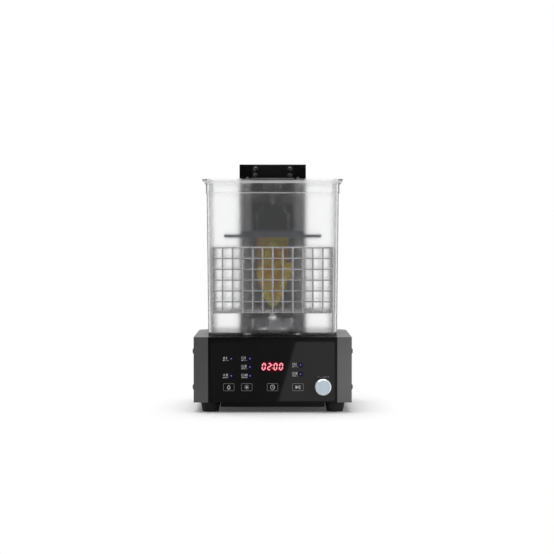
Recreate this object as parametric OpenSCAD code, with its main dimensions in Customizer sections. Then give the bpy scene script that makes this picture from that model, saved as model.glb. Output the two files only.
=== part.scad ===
// Bench unit that washes and light-cures resin dental prints. A low base carries the controls,
// the stirrer drive and a light column; a frosted tank with a wire basket lifts off the deck,
// and a carrier on the column hangs the build plate and its print inside the tank.
// Millimetres, +Z up, front face towards -Y, origin on the table under the middle of the unit.

/* [Base] */
// Width across the two side cheeks
base_w = 225; // [210:1:260]
// Depth from the front face to the rear face
base_d = 235; // [228:1:270]
// Height of the base body above the feet
base_h = 93; // [86:1:120]
// Height of the rubber feet
foot_h = 14.5; // [10:0.5:25]
// Width of each side cheek
cheek_w = 20.5; // [16:0.5:28]
// Wall of a side cheek
cheek_t = 3; // [2:0.5:5]
// Radius of the rear corners seen from above
corner_r = 28; // [22:1:36]
// Wall of the inner chassis
shell_t = 2.5; // [1.5:0.5:4]
// Thickness of the deck plate
deck_t = 3; // [2:0.5:5]
// Depth of the frame round the front glass
frame_t = 8; // [7:0.5:12]
// Height of the bottom pan below the cheeks
pan_h = 6.5; // [4:0.5:9]

/* [Controls] */
// Width of the front glass
glass_w = 176.8; // [165:0.1:180]
// Height of the front glass
glass_h = 84.5; // [80:0.1:86]
// Thickness of the front glass
glass_t = 3; // [2:0.5:3.5]
// Diameter of the control knob
knob_d = 23; // [16:0.5:30]
// How far the knob stands out of the front face
knob_out = 13; // [8:0.5:20]
// Sideways place of the knob from the middle
knob_x = 71.5; // [60:0.5:74]
// Height of the knob above the bottom edge of the base body
knob_up = 22.5; // [18:0.5:40]
// Travel of the knob when it is pushed
knob_travel = 1.2; // [0.6:0.1:1.3]

/* [Light column] */
// Width of the light column
col_w = 101; // [96:1:120]
// Depth of the light column
col_d = 34; // [30:1:38]
// Height of the light column above the deck
col_h = 252.5; // [240:0.5:300]
// Width of the socket at the top of the column's face
socket_w = 60; // [59:0.5:62]
// Depth of the socket behind the column's face
socket_d = 8; // [7:0.5:10]
// Width of each lamp window
lens_w = 9; // [6:0.5:10]
// Number of lamps behind each window
lamps = 12; // [6:1:16]

/* [Tank] */
// Outer width of the tank at its rim
tank_w = 191; // [188:1:200]
// Outer depth of the tank at its rim
tank_d = 158; // [155:1:164]
// Height of the tank
tank_h = 226; // [220:1:250]
// How much each side leans in from rim to floor
tank_draft = 2.5; // [1:0.1:3]
// Wall of the tank
tank_wall = 2.6; // [2:0.1:3]
// Thickness of the tank's floor
tank_floor = 5; // [4:0.5:8]
// Outer radius of the tank's upright corners
tank_corner = 12; // [9:0.5:13]
// Distance from the front face of the base back to the tank
tank_setback = 30; // [26:1:34]
// How far the rim stands out all round
rim_out = 3; // [1.5:0.5:4]
// Height of the rim
rim_h = 5; // [3:0.5:8]
// How far the side grips stand out of the walls
grip_out = 6.4; // [4:0.2:8]

/* [Basket] */
// Pitch of the upright wires across the width
mesh_x = 14.46; // [13:0.01:14.6]
// Cells across the width
cells_x = 12; // [10:1:12]
// Pitch of the upright wires along the depth
mesh_y = 13.9; // [12:0.01:14]
// Cells along the depth
cells_y = 10; // [8:1:10]
// Pitch of the level wires
mesh_z = 15.6; // [12:0.01:16]
// Cells up the height
cells_z = 6; // [4:1:6]
// Diameter of the upright wires
wire_d = 2.4; // [2:0.1:3]
// Diameter of the level wires
thin_wire_d = 1.8; // [1.4:0.1:2]
// Diameter of the corner posts
post_d = 3; // [2.4:0.1:3.4]
// Height of the basket's floor above the deck
basket_up = 32.5; // [30:0.5:40]

/* [Stirrer] */
// Diameter across the stirrer blades
stirrer_d = 84; // [70:1:100]
// Height of the stirrer's blades
blade_h = 13; // [8:0.5:14]
// Number of blades
blades = 6; // [4:1:8]
// Diameter of the pivot pin
pivot_d = 5; // [4:0.5:6]

/* [Carrier and platform] */
// Width of the carrier bracket
carrier_w = 64; // [60:1:70]
// Thickness of the carrier's bent plate
carrier_t = 3; // [2:0.5:3.5]
// Width of the build plate
plate_w = 142; // [120:1:150]
// Depth of the build plate
plate_d = 88; // [70:1:100]
// Thickness of the build plate's edge
plate_t = 4.5; // [3:0.5:6]
// Height of the build plate's underside above the deck
plate_up = 141.5; // [136:0.5:144]
// Width of the square platform head
head_w = 47; // [40:1:52]
// Height of the platform head
head_h = 38.3; // [34:0.1:40]
// Height of the printed work hanging below the plate
print_h = 102; // [80:1:102]

/* [Hidden] */
$fn = 48;

// Clearances
slack = 0.3;       // between pieces that only seat on each other
run_gap = 0.05;    // round a shaft that turns or slides
cut = 1;           // how far a cutter runs past a face

// The jack is the rearmost piece and the knob the foremost: the origin lies midway between them
rear_step = 1.2;   // the chassis stops this far short of the cheeks' rear
jack_out = 3.2;
back_out = jack_out - rear_step;
base_yc = (knob_out - back_out) / 2;
front_y = base_yc - base_d / 2;
rear_y = base_yc + base_d / 2;
frame_side = 3.6;  // the frame beside the glass
mid_w = max(base_w - 2 * cheek_w, glass_w + 2 * frame_side);
side_w = (base_w - mid_w) / 2;
base_z = foot_h;
deck_z = foot_h + base_h;
under_deck = deck_z - deck_t;
chassis_front = front_y + frame_t;
chassis_rear = rear_y - rear_step;

// Side cheek screws
cheek_screw_r = 2;
cheek_screw_head = [3.8, 1.8];
cheek_boss_r = 5;
cheek_screw_y = [front_y + 14, rear_y - 45];
cheek_screw_z = [base_z + 21.2, deck_z - 20.5];

// Feet
foot_r = [11.8, 14];
foot_screw_r = 2;
foot_boss_r = 6;
foot_boss_h = 14;
foot_well = 7;
foot_x = mid_w / 2 - 3;
foot_y = [front_y + 24, rear_y - 30];

// Bottom pan
pan_w = 2 * (foot_x - foot_r[1] - 1);
pan_t = 1.5;
pan_y = [front_y + 1.5, rear_y - 12];
vents = 10;
vent_w = 3.6;
vent_pitch = 7.6;
vent_len = 70;
pan_screw_r = 1.5;
pan_screw_x = pan_w / 2 - 8;
pan_screw_y = [pan_y[0] + 12, pan_y[1] - 12];

// Deck
deck_boss_r = 44;
deck_boss_h = 2;
deck_screw_r = 1.75;
deck_screw_head = [3.4, 1.8];
deck_post_r = 4;
deck_screw_x = mid_w / 2 - 7;
deck_screw_y = [chassis_front + 14, base_yc, chassis_rear - 10];

// Front panel
glass_recess = 0.5;
glass_gap = 0.25;
glass_z = base_z + 2;
rebate = 4;
board_gap = 3;
board_t = 1.6;
board_y = front_y + frame_t + board_gap;
board_w = 168;
board_h = 72;
board_z = glass_z + (glass_h - board_h) / 2;
board_post_x = board_w / 2 - 4;
board_post_z = [board_z + 3.5, board_z + board_h - 3.5];
board_screw_r = 1.2;
lug_r = 3;
glass_back = front_y + glass_recess + glass_t;
display_w = 36;
display_h = 18;
display_z = base_z + 51;
touch_x = [-62.5, -36.9, -0.2, 35.9];
touch_z = base_z + 21.8;
knob_z = base_z + knob_up;
shaft_r = 3;
sleeve_r = 4.5;
glass_hole_r = 5.2;
encoder_w = 13;
encoder_back = board_y;
encoder_front = glass_back + 1;
sleeve_front = front_y + 1;
knob_rear = front_y + glass_recess - knob_travel - 0.8;
knob_front = front_y - knob_out;

// Stirrer drive, under the middle of the tank
tank_front = front_y + tank_setback;
tank_yc = tank_front + tank_d / 2;
rotor_r = 38;
rotor_t = 6;
rotor_gap = 2;
rotor_z = under_deck - rotor_gap - rotor_t;
rotor_hub_r = 8;
rotor_hub_h = 6;
motor_r = 18.5;
motor_h = 36;
bracket_t = 3;
bracket_z = rotor_z - rotor_hub_h - 8.5;
bracket_size = [116, 84];
standoff_r = 4;
standoff_at = [48, 34];
drive_r = 3;
magnet_r = 5;
magnet_t = 3.5;
magnets = 4;
magnet_ring = 16;
drive_magnet_ring = 22;

// Power board and cooling fan
power_w = 54;
power_l = 96;
power_x = -deck_screw_x + deck_post_r + 1;
power_y = base_yc - 66;
power_z = base_z + shell_t + 6;
fan_w = 40;
fan_t = 10;
fan_x = -50;
fan_z = base_z + 30;
fan_y = chassis_rear - shell_t - fan_t;
fan_r = fan_w / 2 - 1.5;
fan_hub_r = 9;
fan_pin_r = 1.5;
fan_blades = 7;
jack_x = 56;
jack_z = base_z + 22;
jack_r = 5.5;

// Light column
col_front = tank_front + tank_d + rim_out + 2.5;
col_wall = 2.5;
lip_w = 1.2;
cap_t = 3;
col_top = deck_z + col_h;
housing_h = col_h - cap_t;
lens_flange = 1.2;
lens_x = socket_w / 2 + col_wall + lens_flange + 0.2 + lens_w / 2;
lens_z = [deck_z + 18, col_top - 18.3];
strip_t = 1.6;
strip_w = lens_w + 2;
strip_gap = 3;
lamp_w = 5;
lamp_t = 2;
sink_t = 9;
col_screw_r = 1.5;
col_screw_x = col_w / 2 - 6;
col_screw_z = [deck_z + 12, deck_z + col_h / 2, col_top - 14];

// Tank
rim_z = deck_z + tank_h;
step_h = 14.7;     // the collar below the rim, which stands out a little
step_out = 0.8;
recess_h = 2.2;
pivot_boss_r = 6;
pivot_boss_h = 3;
floor_z = deck_z + tank_floor;

// Stirrer
stirrer_z = floor_z + pivot_boss_h + run_gap + 0.15;
stirrer_gap = 1.8;
stirrer_disc_t = 2.4;
stirrer_core_r = 24;
stirrer_core_t = 6;
stirrer_hub_r = 7.2;
stirrer_hub_h = 4.6;
bush_r = 5.5;
bush_h = 18.5;
bush_groove = 0.9;

// Basket
basket_z = deck_z + basket_up;
basket_x = mesh_x * cells_x / 2;
basket_y = mesh_y * cells_y / 2;
basket_h = mesh_z * cells_z;
level_in = thin_wire_d / 2;
post_top = basket_z + basket_h + 2;
weld_gap = 0.2;

// The wires of the top and bottom rims are a little thicker
function level_wire_d(k) = k == 0 || k == cells_z ? thin_wire_d + 0.5 : thin_wire_d;

// Platform
plate_z = deck_z + plate_up;
plinth = [95, 60, 5.2];
head_z = plate_z + plate_t + plinth[2];
head_top = head_z + head_h;
neck_w = 36;
neck_h = 10.3;
rear_plate = [62, 41, 9];
dovetail = [24, 5];
level_screw_r = 2.5;
level_screw_y = [-12, 12];
level_screw_z = head_z + 20;

// Carrier
hang_gap = 17;     // room for the lock nut between the head and the shelf
drop_h = 20.7;     // least drop from the arm to the shelf, for its two bends
back_plate_h = 25.3;
socket_h = 26.3;   // least depth of the socket below the column's top
shelf_z = head_top + hang_gap;
arm_z = max(rim_z + 1.2, shelf_z + drop_h);
carrier_top = arm_z + back_plate_h;
shelf_d = 42;
bend_r = 1.8;
carrier_back = col_front - slack;
drop_y = tank_yc + shelf_d / 2;
socket_z = min(arm_z - 1, col_top - socket_h);
socket_gap = 0.3;
tongue_z = socket_z + slack;
carrier_screw_x = 26;
carrier_screw_head = [3.4, 2];
carrier_screw_low = arm_z + carrier_t + bend_r + carrier_screw_head[0] + 0.6;
carrier_screw_z = [carrier_screw_low, carrier_screw_low + 9.6];
carrier_screw_r = 2;
clamp_r = 14;
clamp_h = 13;
hanger_r = 3;
hanger_in = 12;

// Shapes used by several pieces

module rounded_rect(w, d, r) {
    square([w - 2 * r, d], center = true);
    square([w, d - 2 * r], center = true);
    for (x = [-1, 1], y = [-1, 1])
        translate([x * (w / 2 - r), y * (d / 2 - r)]) circle(r = r);
}

module box_between(low, high) {
    translate(low) cube(high - low);
}

// A cylinder from y0 to y1 along Y
module rod_y(x, z, r, y0, y1) {
    translate([x, y1, z]) rotate([90, 0, 0]) cylinder(r = r, h = y1 - y0);
}

// Button head screw with its head up and a hexagon socket; z = 0 is under the head
module button_screw(shank_r, shank_l, head) {
    difference() {
        union() {
            translate([0, 0, -shank_l]) cylinder(r = shank_r, h = shank_l + 0.01);
            cylinder(r = head[0], h = head[1] * 0.5);
            translate([0, 0, head[1] * 0.5 - 0.01])
                cylinder(r1 = head[0], r2 = head[0] * 0.72, h = head[1] * 0.5 + 0.01);
        }
        translate([0, 0, head[1] * 0.35]) cylinder(r = shank_r * 0.62, h = head[1], $fn = 6);
    }
}

// Base

module cheek_plan(inset, open) {
    translate([mid_w / 2 - open, front_y + inset])
        square([side_w - inset + open, base_d - corner_r - inset]);
    intersection() {
        translate([base_w / 2 - corner_r, rear_y - corner_r]) circle(r = corner_r - inset, $fn = 96);
        translate([mid_w / 2 - open, rear_y - corner_r - cut]) square([side_w + open, corner_r + cut]);
    }
}

module cheek_screw_places() {
    for (y = cheek_screw_y, z = cheek_screw_z)
        translate([base_w / 2, y, z]) rotate([0, 90, 0]) children();
}

module foot_places() {
    for (x = [-foot_x, foot_x], y = foot_y) translate([x, y, 0]) children();
}

module side_cheek() {
    color([0.30, 0.30, 0.31]) difference() {
        union() {
            difference() {
                translate([0, 0, base_z]) linear_extrude(base_h) cheek_plan(0, 0);
                translate([0, 0, base_z + cheek_t]) linear_extrude(base_h - 2 * cheek_t)
                    cheek_plan(cheek_t, cut);
            }
            cheek_screw_places() translate([0, 0, -side_w]) cylinder(r = cheek_boss_r, h = side_w - 0.5);
        }
        cheek_screw_places() translate([0, 0, -side_w - cut])
            cylinder(r = cheek_screw_r + 0.1, h = side_w + 2 * cut);
    }
}

module side_cheek_right() {
    side_cheek();
}

module side_cheek_left() {
    mirror([1, 0, 0]) side_cheek();
}

module cheek_screws() {
    color([0.10, 0.10, 0.10]) for (side = [0, 1])
        mirror([side, 0, 0]) cheek_screw_places()
            button_screw(cheek_screw_r, side_w + shell_t, cheek_screw_head);
}

module vent_slots(y0, z0, h) {
    for (i = [0 : vents - 1]) {
        x = (i - (vents - 1) / 2) * vent_pitch;
        box_between([x - vent_w / 2, y0, z0], [x + vent_w / 2, y0 + vent_len, z0 + h]);
    }
}

module deck_screw_places() {
    for (x = [-deck_screw_x, deck_screw_x], y = deck_screw_y) translate([x, y, 0]) children();
}

module pan_screw_places() {
    for (x = [-pan_screw_x, pan_screw_x], y = pan_screw_y) translate([x, y, 0]) children();
}

// Sheet metal tub between the cheeks: open at the front and top, with rear and floor vents
module chassis() {
    grille_rows = 7;
    grille_pitch = 5;
    color([0.06, 0.06, 0.065]) difference() {
        union() {
            difference() {
                box_between([-mid_w / 2, chassis_front, base_z], [mid_w / 2, chassis_rear, under_deck]);
                box_between([-mid_w / 2 + shell_t, chassis_front - cut, base_z + shell_t],
                    [mid_w / 2 - shell_t, chassis_rear - shell_t, under_deck + cut]);
            }
            deck_screw_places() translate([0, 0, base_z + 0.5])
                cylinder(r = deck_post_r, h = base_h - deck_t - 0.5);
            intersection() {
                foot_places() translate([0, 0, base_z]) cylinder(r = foot_boss_r, h = foot_boss_h);
                box_between([-mid_w / 2, chassis_front, base_z], [mid_w / 2, chassis_rear, under_deck]);
            }
            for (x = [power_x + 5, power_x + power_w - 5], y = [power_y + 5, power_y + power_l - 5])
                translate([x, y, base_z + 0.5]) cylinder(r = 3, h = power_z - base_z - 0.5);
        }
        deck_screw_places() translate([0, 0, under_deck - 12]) cylinder(r = deck_screw_r, h = 12 + cut);
        foot_places() translate([0, 0, base_z - cut]) cylinder(r = foot_screw_r, h = foot_boss_h - 2 + cut);
        pan_screw_places() translate([0, 0, base_z - cut]) cylinder(r = pan_screw_r, h = shell_t + 2 * cut);
        vent_slots(front_y + 20, base_z - cut, shell_t + 2 * cut);
        for (side = [-1, 1], y = cheek_screw_y, z = cheek_screw_z)
            translate([side * (mid_w / 2 - shell_t - cut), y, z]) rotate([0, side * 90, 0])
                cylinder(r = cheek_screw_r, h = shell_t + 2 * cut);
        for (i = [0 : grille_rows - 1]) {
            z = fan_z + (i - (grille_rows - 1) / 2) * grille_pitch;
            half = sqrt(pow(fan_r, 2) - pow(z - fan_z, 2));
            box_between([fan_x - half, chassis_rear - shell_t - cut, z - 1.2],
                [fan_x + half, chassis_rear + cut, z + 1.2]);
        }
        rod_y(jack_x, jack_z, jack_r, chassis_rear - shell_t - cut, chassis_rear + cut);
    }
}

module deck() {
    color([0.05, 0.05, 0.055]) difference() {
        union() {
            box_between([-mid_w / 2, front_y, under_deck], [mid_w / 2, chassis_rear, deck_z]);
            translate([0, tank_yc, deck_z - 0.5]) cylinder(r = deck_boss_r, h = deck_boss_h + 0.5, $fn = 96);
        }
        deck_screw_places() {
            translate([0, 0, under_deck - cut]) cylinder(r = deck_screw_r + 0.1, h = deck_t + 2 * cut);
            translate([0, 0, deck_z - deck_screw_head[1] - 0.1])
                cylinder(r1 = deck_screw_r + 0.1, r2 = deck_screw_head[0] + 0.1,
                    h = deck_screw_head[1] + 0.11);
        }
        box_between([-12, col_front + 18, under_deck - cut], [12, col_front + col_d - 8, deck_z + cut]);
    }
}

module deck_screws() {
    color([0.12, 0.12, 0.12]) deck_screw_places() difference() {
        union() {
            translate([0, 0, under_deck - 10])
                cylinder(r = deck_screw_r, h = deck_t + 10 - deck_screw_head[1]);
            translate([0, 0, deck_z - deck_screw_head[1] - 0.01])
                cylinder(r1 = deck_screw_r, r2 = deck_screw_head[0], h = deck_screw_head[1]);
        }
        translate([0, 0, deck_z - 1.2]) cylinder(r = 1.2, h = 2, $fn = 6);
    }
}

module base_pan() {
    color([0.06, 0.06, 0.06]) difference() {
        union() {
            difference() {
                box_between([-pan_w / 2, pan_y[0], base_z - pan_h], [pan_w / 2, pan_y[1], base_z]);
                box_between([-pan_w / 2 + pan_t, pan_y[0] + pan_t, base_z - pan_h + pan_t],
                    [pan_w / 2 - pan_t, pan_y[1] - pan_t, base_z + cut]);
            }
            pan_screw_places() translate([0, 0, base_z - pan_h + 0.5]) cylinder(r = 4, h = pan_h - 0.5);
        }
        vent_slots(pan_y[0] + 8, base_z - pan_h - cut, pan_t + 2 * cut);
        pan_screw_places() translate([0, 0, base_z - pan_h - cut])
            cylinder(r = pan_screw_r + 0.1, h = pan_h + 2 * cut);
    }
}

module pan_screws() {
    color([0.25, 0.25, 0.25]) pan_screw_places()
        translate([0, 0, base_z - pan_h]) mirror([0, 0, 1])
            button_screw(pan_screw_r, pan_h + 2, [2.8, 1.4]);
}

module feet() {
    color([0.05, 0.05, 0.05]) foot_places() difference() {
        union() {
            cylinder(r1 = foot_r[0] - 1, r2 = foot_r[0], h = 1);
            translate([0, 0, 1]) cylinder(r1 = foot_r[0], r2 = foot_r[1], h = foot_h - 3);
            translate([0, 0, foot_h - 2]) cylinder(r = foot_r[1], h = 2);
        }
        translate([0, 0, -cut]) cylinder(r = 5, h = foot_well + cut);
        cylinder(r = foot_screw_r + 0.1, h = foot_h + cut);
    }
}

module foot_screws() {
    color([0.3, 0.3, 0.3]) foot_places() translate([0, 0, foot_well]) mirror([0, 0, 1])
        button_screw(foot_screw_r, foot_h - foot_well + foot_boss_h - 4, [4.2, 2.4]);
}

// Front panel and controls

module board_post_places() {
    for (x = [-board_post_x, board_post_x], z = board_post_z) translate([x, 0, z]) children();
}

// Frame round the glass: a rebate carries the glass, and four lugs behind it carry the board
module panel_frame() {
    low_z = glass_z - glass_gap;
    high_z = glass_z + glass_h + glass_gap;
    half = glass_w / 2 + glass_gap;
    color([0.03, 0.03, 0.03]) difference() {
        union() {
            box_between([-mid_w / 2, front_y, base_z], [mid_w / 2, chassis_front, under_deck]);
            board_post_places() rod_y(0, 0, lug_r, chassis_front - 1, board_y);
        }
        box_between([-half, front_y - cut, low_z], [half, glass_back, high_z]);
        difference() {
            box_between([-half + rebate, front_y, low_z + rebate],
                [half - rebate, chassis_front + cut, high_z - rebate]);
            for (side = [-1, 1], z = board_post_z) translate([side * board_post_x, 0, z])
                box_between([side > 0 ? -lug_r : -2 * lug_r - rebate, glass_back, -lug_r],
                    [side > 0 ? 2 * lug_r + rebate : lug_r, chassis_front + 2 * cut, lug_r]);
        }
        board_post_places() rod_y(0, 0, board_screw_r, chassis_front, board_y + cut);
    }
}

module front_glass() {
    color([0.02, 0.02, 0.022]) difference() {
        translate([0, glass_back, glass_z + glass_h / 2]) rotate([90, 0, 0])
            linear_extrude(glass_t) rounded_rect(glass_w, glass_h, 2);
        rod_y(knob_x, knob_z, glass_hole_r, front_y - cut, glass_back + cut);
    }
}

// Circuit board behind the glass, with its controller, connectors, buzzer and drivers
module control_board() {
    back = board_y + board_t;
    color([0.05, 0.22, 0.12]) difference() {
        union() {
            box_between([-board_w / 2, board_y, board_z], [board_w / 2, back, board_z + board_h]);
            box_between([-30, back - 0.1, board_z + 26], [-16, back + 1.6, board_z + 40]);
            box_between([-66, back - 0.1, board_z + 30], [-56, back + 8, board_z + 52]);
            box_between([40, back - 0.1, board_z + 44], [62, back + 7, board_z + 50]);
            rod_y(10, board_z + 34, 5.5, back - 0.1, back + 7);
            for (i = [0 : 3]) rod_y(-4 + i * 10, board_z + 56, 3, back - 0.1, back + 9);
        }
        rod_y(knob_x, knob_z, sleeve_r + 1, board_y - cut, back + cut);
        board_post_places() rod_y(0, 0, board_screw_r + 0.2, board_y - cut, back + cut);
    }
}

module display_module() {
    color([0.55, 0.03, 0.04]) difference() {
        box_between([-display_w / 2, glass_back + slack, display_z - display_h / 2],
            [display_w / 2, board_y, display_z + display_h / 2]);
        box_between([-display_w / 2 + 1.2, glass_back, display_z - display_h / 2 + 1.2],
            [display_w / 2 - 1.2, glass_back + slack + 0.8, display_z + display_h / 2 - 1.2]);
    }
}

// Sensing springs that press against the back of the glass under each printed key
module touch_springs() {
    color([0.75, 0.7, 0.55]) for (x = touch_x) difference() {
        union() {
            rod_y(x, touch_z, 4.2, glass_back + 1, board_y);
            rod_y(x, touch_z, 5, glass_back, glass_back + 1.2);
        }
        rod_y(x, touch_z, 3.4, glass_back + 1.2, board_y + cut);
    }
}

module encoder_body() {
    color([0.35, 0.36, 0.38]) difference() {
        union() {
            box_between([knob_x - encoder_w / 2, encoder_front, knob_z - encoder_w / 2],
                [knob_x + encoder_w / 2, encoder_back, knob_z + encoder_w / 2]);
            rod_y(knob_x, knob_z, sleeve_r + 1.2, glass_back + 0.2, encoder_front + 1);
        }
        rod_y(knob_x, knob_z, sleeve_r + run_gap, glass_back - cut, encoder_back + cut);
    }
}

module push_sleeve() {
    color([0.7, 0.6, 0.35]) difference() {
        rod_y(knob_x, knob_z, sleeve_r, sleeve_front, encoder_back - 0.4);
        rod_y(knob_x, knob_z, shaft_r + run_gap, sleeve_front - cut, encoder_back + cut);
    }
}

module encoder_shaft() {
    color([0.72, 0.72, 0.74]) rod_y(knob_x, knob_z, shaft_r, knob_front + 3, encoder_back - 0.4);
}

// Turned knob: fine grip round its skirt, a bevelled lip and a flat, slightly sunk face
module control_knob() {
    r = knob_d / 2;
    grips = 48;
    color([0.72, 0.78, 0.84]) difference() {
        translate([knob_x, knob_rear, knob_z]) rotate([90, 0, 0]) rotate_extrude($fn = 96)
            polygon([[0, 0], [r - 0.6, 0], [r, 0.6], [r, knob_rear - knob_front - 1.6],
                [r - 1.3, knob_rear - knob_front], [r - 2.4, knob_rear - knob_front],
                [r - 2.7, knob_rear - knob_front - 0.3], [0, knob_rear - knob_front - 0.3]]);
        rod_y(knob_x, knob_z, shaft_r, knob_front + 3, knob_rear + cut);
        difference() {
            rod_y(knob_x, knob_z, r - 1.8, knob_rear - 5, knob_rear + cut);
            rod_y(knob_x, knob_z, shaft_r + 2, knob_rear - 6, knob_rear);
        }
        for (i = [0 : grips - 1])
            translate([knob_x, 0, knob_z]) rotate([0, i * 360 / grips, 0])
                translate([r + 0.12, 0, 0]) rod_y(0, 0, 0.45, knob_front + 2.6, knob_rear - 1.2, $fn = 8);
    }
}

// Stirrer drive

module motor_bracket() {
    color([0.62, 0.63, 0.65]) difference() {
        union() {
            translate([0, tank_yc, bracket_z]) linear_extrude(bracket_t)
                rounded_rect(bracket_size[0], bracket_size[1], 8);
            for (x = [-1, 1], y = [-1, 1])
                translate([x * standoff_at[0], tank_yc + y * standoff_at[1], bracket_z + 0.5])
                    cylinder(r = standoff_r, h = under_deck - bracket_z - 0.5);
        }
        translate([0, tank_yc, bracket_z - cut]) {
            cylinder(r = 8.2, h = bracket_t + 2 * cut);
            for (a = [45 : 90 : 315]) rotate(a) translate([13.5, 0, 0])
                cylinder(r = 1.6, h = bracket_t + 2 * cut);
        }
    }
}

module motor() {
    color([0.35, 0.35, 0.37]) translate([0, tank_yc, bracket_z]) difference() {
        union() {
            translate([0, 0, -motor_h]) rotate_extrude($fn = 72)
                polygon([[0, 0], [motor_r - 1.5, 0], [motor_r, 1.5], [motor_r, motor_h - 4],
                    [motor_r - 1, motor_h - 4], [motor_r - 1, motor_h - 3], [motor_r, motor_h - 3],
                    [motor_r, motor_h], [0, motor_h]]);
            cylinder(r = 8, h = 4);
            translate([0, 0, -motor_h - 3]) cylinder(r = 5, h = 4);
        }
        translate([0, 0, -motor_h + 6]) cylinder(r = drive_r + run_gap, h = motor_h);
        for (a = [45 : 90 : 315]) rotate(a) translate([13.5, 0, -6]) cylinder(r = 1.5, h = 6 + cut);
    }
}

module motor_screws() {
    color([0.2, 0.2, 0.2]) translate([0, tank_yc, bracket_z + bracket_t])
        for (a = [45 : 90 : 315]) rotate(a) translate([13.5, 0, 0])
            button_screw(1.5, bracket_t + 5, [2.8, 1.6]);
}

module motor_shaft() {
    color([0.75, 0.75, 0.77]) translate([0, tank_yc, bracket_z - motor_h + 8])
        cylinder(r = drive_r, h = rotor_z + rotor_t - 1 - bracket_z + motor_h - 8);
}

module drive_rotor() {
    color([0.80, 0.80, 0.78]) translate([0, tank_yc, rotor_z]) difference() {
        union() {
            cylinder(r = rotor_r, h = rotor_t, $fn = 96);
            translate([0, 0, -rotor_hub_h]) cylinder(r = rotor_hub_r, h = rotor_hub_h + 1);
        }
        translate([0, 0, -rotor_hub_h - cut]) cylinder(r = drive_r, h = rotor_hub_h + rotor_t - 1 + cut);
        for (a = [0 : 360 / magnets : 359]) rotate(a) translate([drive_magnet_ring, 0, rotor_t - magnet_t])
            cylinder(r = magnet_r, h = magnet_t + cut);
        for (a = [45 : 90 : 359]) rotate(a) translate([drive_magnet_ring + 4, 0, -cut])
            cylinder(r = 6, h = rotor_t + 2 * cut);
    }
}

module drive_magnets() {
    color([0.62, 0.63, 0.66]) translate([0, tank_yc, rotor_z + rotor_t - magnet_t])
        for (a = [0 : 360 / magnets : 359]) rotate(a) translate([drive_magnet_ring, 0, 0])
            cylinder(r = magnet_r, h = magnet_t);
}

// Power input, driver board and fan

module power_board() {
    top = power_z + 1.6;
    color([0.10, 0.28, 0.14]) {
        box_between([power_x, power_y, power_z], [power_x + power_w, power_y + power_l, top]);
        for (i = [0 : 2]) translate([power_x + 11 + i * 15, power_y + 84, top - 0.1])
            cylinder(r = 5.5, h = 18);
        for (i = [0 : 5])
            box_between([power_x + 8, power_y + 10 + i * 6, top - 0.1],
                [power_x + 30, power_y + 12.5 + i * 6, top + 16]);
        box_between([power_x + 8, power_y + 10, top - 0.1], [power_x + 30, power_y + 42, top + 3]);
        box_between([power_x + 35, power_y + 12, top - 0.1], [power_x + 49, power_y + 34, top + 12]);
        box_between([power_x + 12, power_y + 52, top - 0.1], [power_x + 42, power_y + 60, top + 9]);
    }
}

module dc_jack() {
    color([0.08, 0.08, 0.08]) difference() {
        union() {
            rod_y(jack_x, jack_z, jack_r - 0.1, chassis_rear - shell_t - 11, chassis_rear + 0.6);
            rod_y(jack_x, jack_z, jack_r + 2, chassis_rear, chassis_rear + jack_out);
        }
        difference() {
            rod_y(jack_x, jack_z, 3.2, chassis_rear - 8, chassis_rear + jack_out + cut);
            rod_y(jack_x, jack_z, 1.05, chassis_rear - 9, chassis_rear + 1);
        }
    }
}

module jack_nut() {
    color([0.6, 0.6, 0.6]) difference() {
        translate([jack_x, chassis_rear - shell_t, jack_z]) rotate([90, 0, 0])
            cylinder(r = jack_r + 2.6, h = 3, $fn = 6);
        rod_y(jack_x, jack_z, jack_r, chassis_rear - shell_t - 3 - cut, chassis_rear - shell_t + cut);
    }
}

module fan_frame() {
    color([0.07, 0.07, 0.07]) {
        difference() {
            box_between([fan_x - fan_w / 2, fan_y, fan_z - fan_w / 2],
                [fan_x + fan_w / 2, fan_y + fan_t, fan_z + fan_w / 2]);
            rod_y(fan_x, fan_z, fan_r, fan_y - cut, fan_y + fan_t + cut);
            for (x = [-16, 16], z = [-16, 16])
                rod_y(fan_x + x, fan_z + z, 1.6, fan_y - cut, fan_y + fan_t + cut);
        }
        for (a = [0 : 120 : 359]) translate([fan_x, 0, fan_z]) rotate([0, a + 30, 0])
            box_between([0, fan_y, -1.2], [fan_r + 0.5, fan_y + 1.6, 1.2]);
        rod_y(fan_x, fan_z, fan_hub_r, fan_y, fan_y + 1.6);
        rod_y(fan_x, fan_z, fan_pin_r, fan_y + 1, fan_y + fan_t - 2);
    }
}

module fan_rotor() {
    y0 = fan_y + 2;
    y1 = fan_y + fan_t - 1;
    color([0.12, 0.12, 0.12]) difference() {
        union() {
            rod_y(fan_x, fan_z, fan_hub_r, y0, y1);
            for (i = [0 : fan_blades - 1])
                translate([fan_x, (y0 + y1) / 2, fan_z]) rotate([0, i * 360 / fan_blades, 0])
                    translate([fan_hub_r - 0.5, 0, 0]) rotate([38, 0, 0])
                        translate([0, -0.5, -4.2]) cube([fan_r - fan_hub_r - 0.3, 1, 8.4]);
        }
        rod_y(fan_x, fan_z, fan_pin_r + run_gap, y0 - cut, y1 - 0.8);
    }
}

// Light column

// Front wall and side walls of the column seen from above; y = 0 is the front face
module column_profile() {
    difference() {
        translate([-col_w / 2, 0]) square([col_w, col_d - col_wall]);
        translate([-col_w / 2 + col_wall, col_wall]) square([col_w - 2 * col_wall, col_d]);
    }
}

// Room for the carrier's tongue at the top of the column, open upwards and through the face
module socket_room(low, high) {
    mouth = socket_w / 2 - lip_w;
    box_between([-mouth, col_front - cut, low], [mouth, col_front + col_wall + cut, high]);
    box_between([-socket_w / 2, col_front + col_wall, low],
        [socket_w / 2, col_front + col_wall + socket_d, high]);
}

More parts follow.
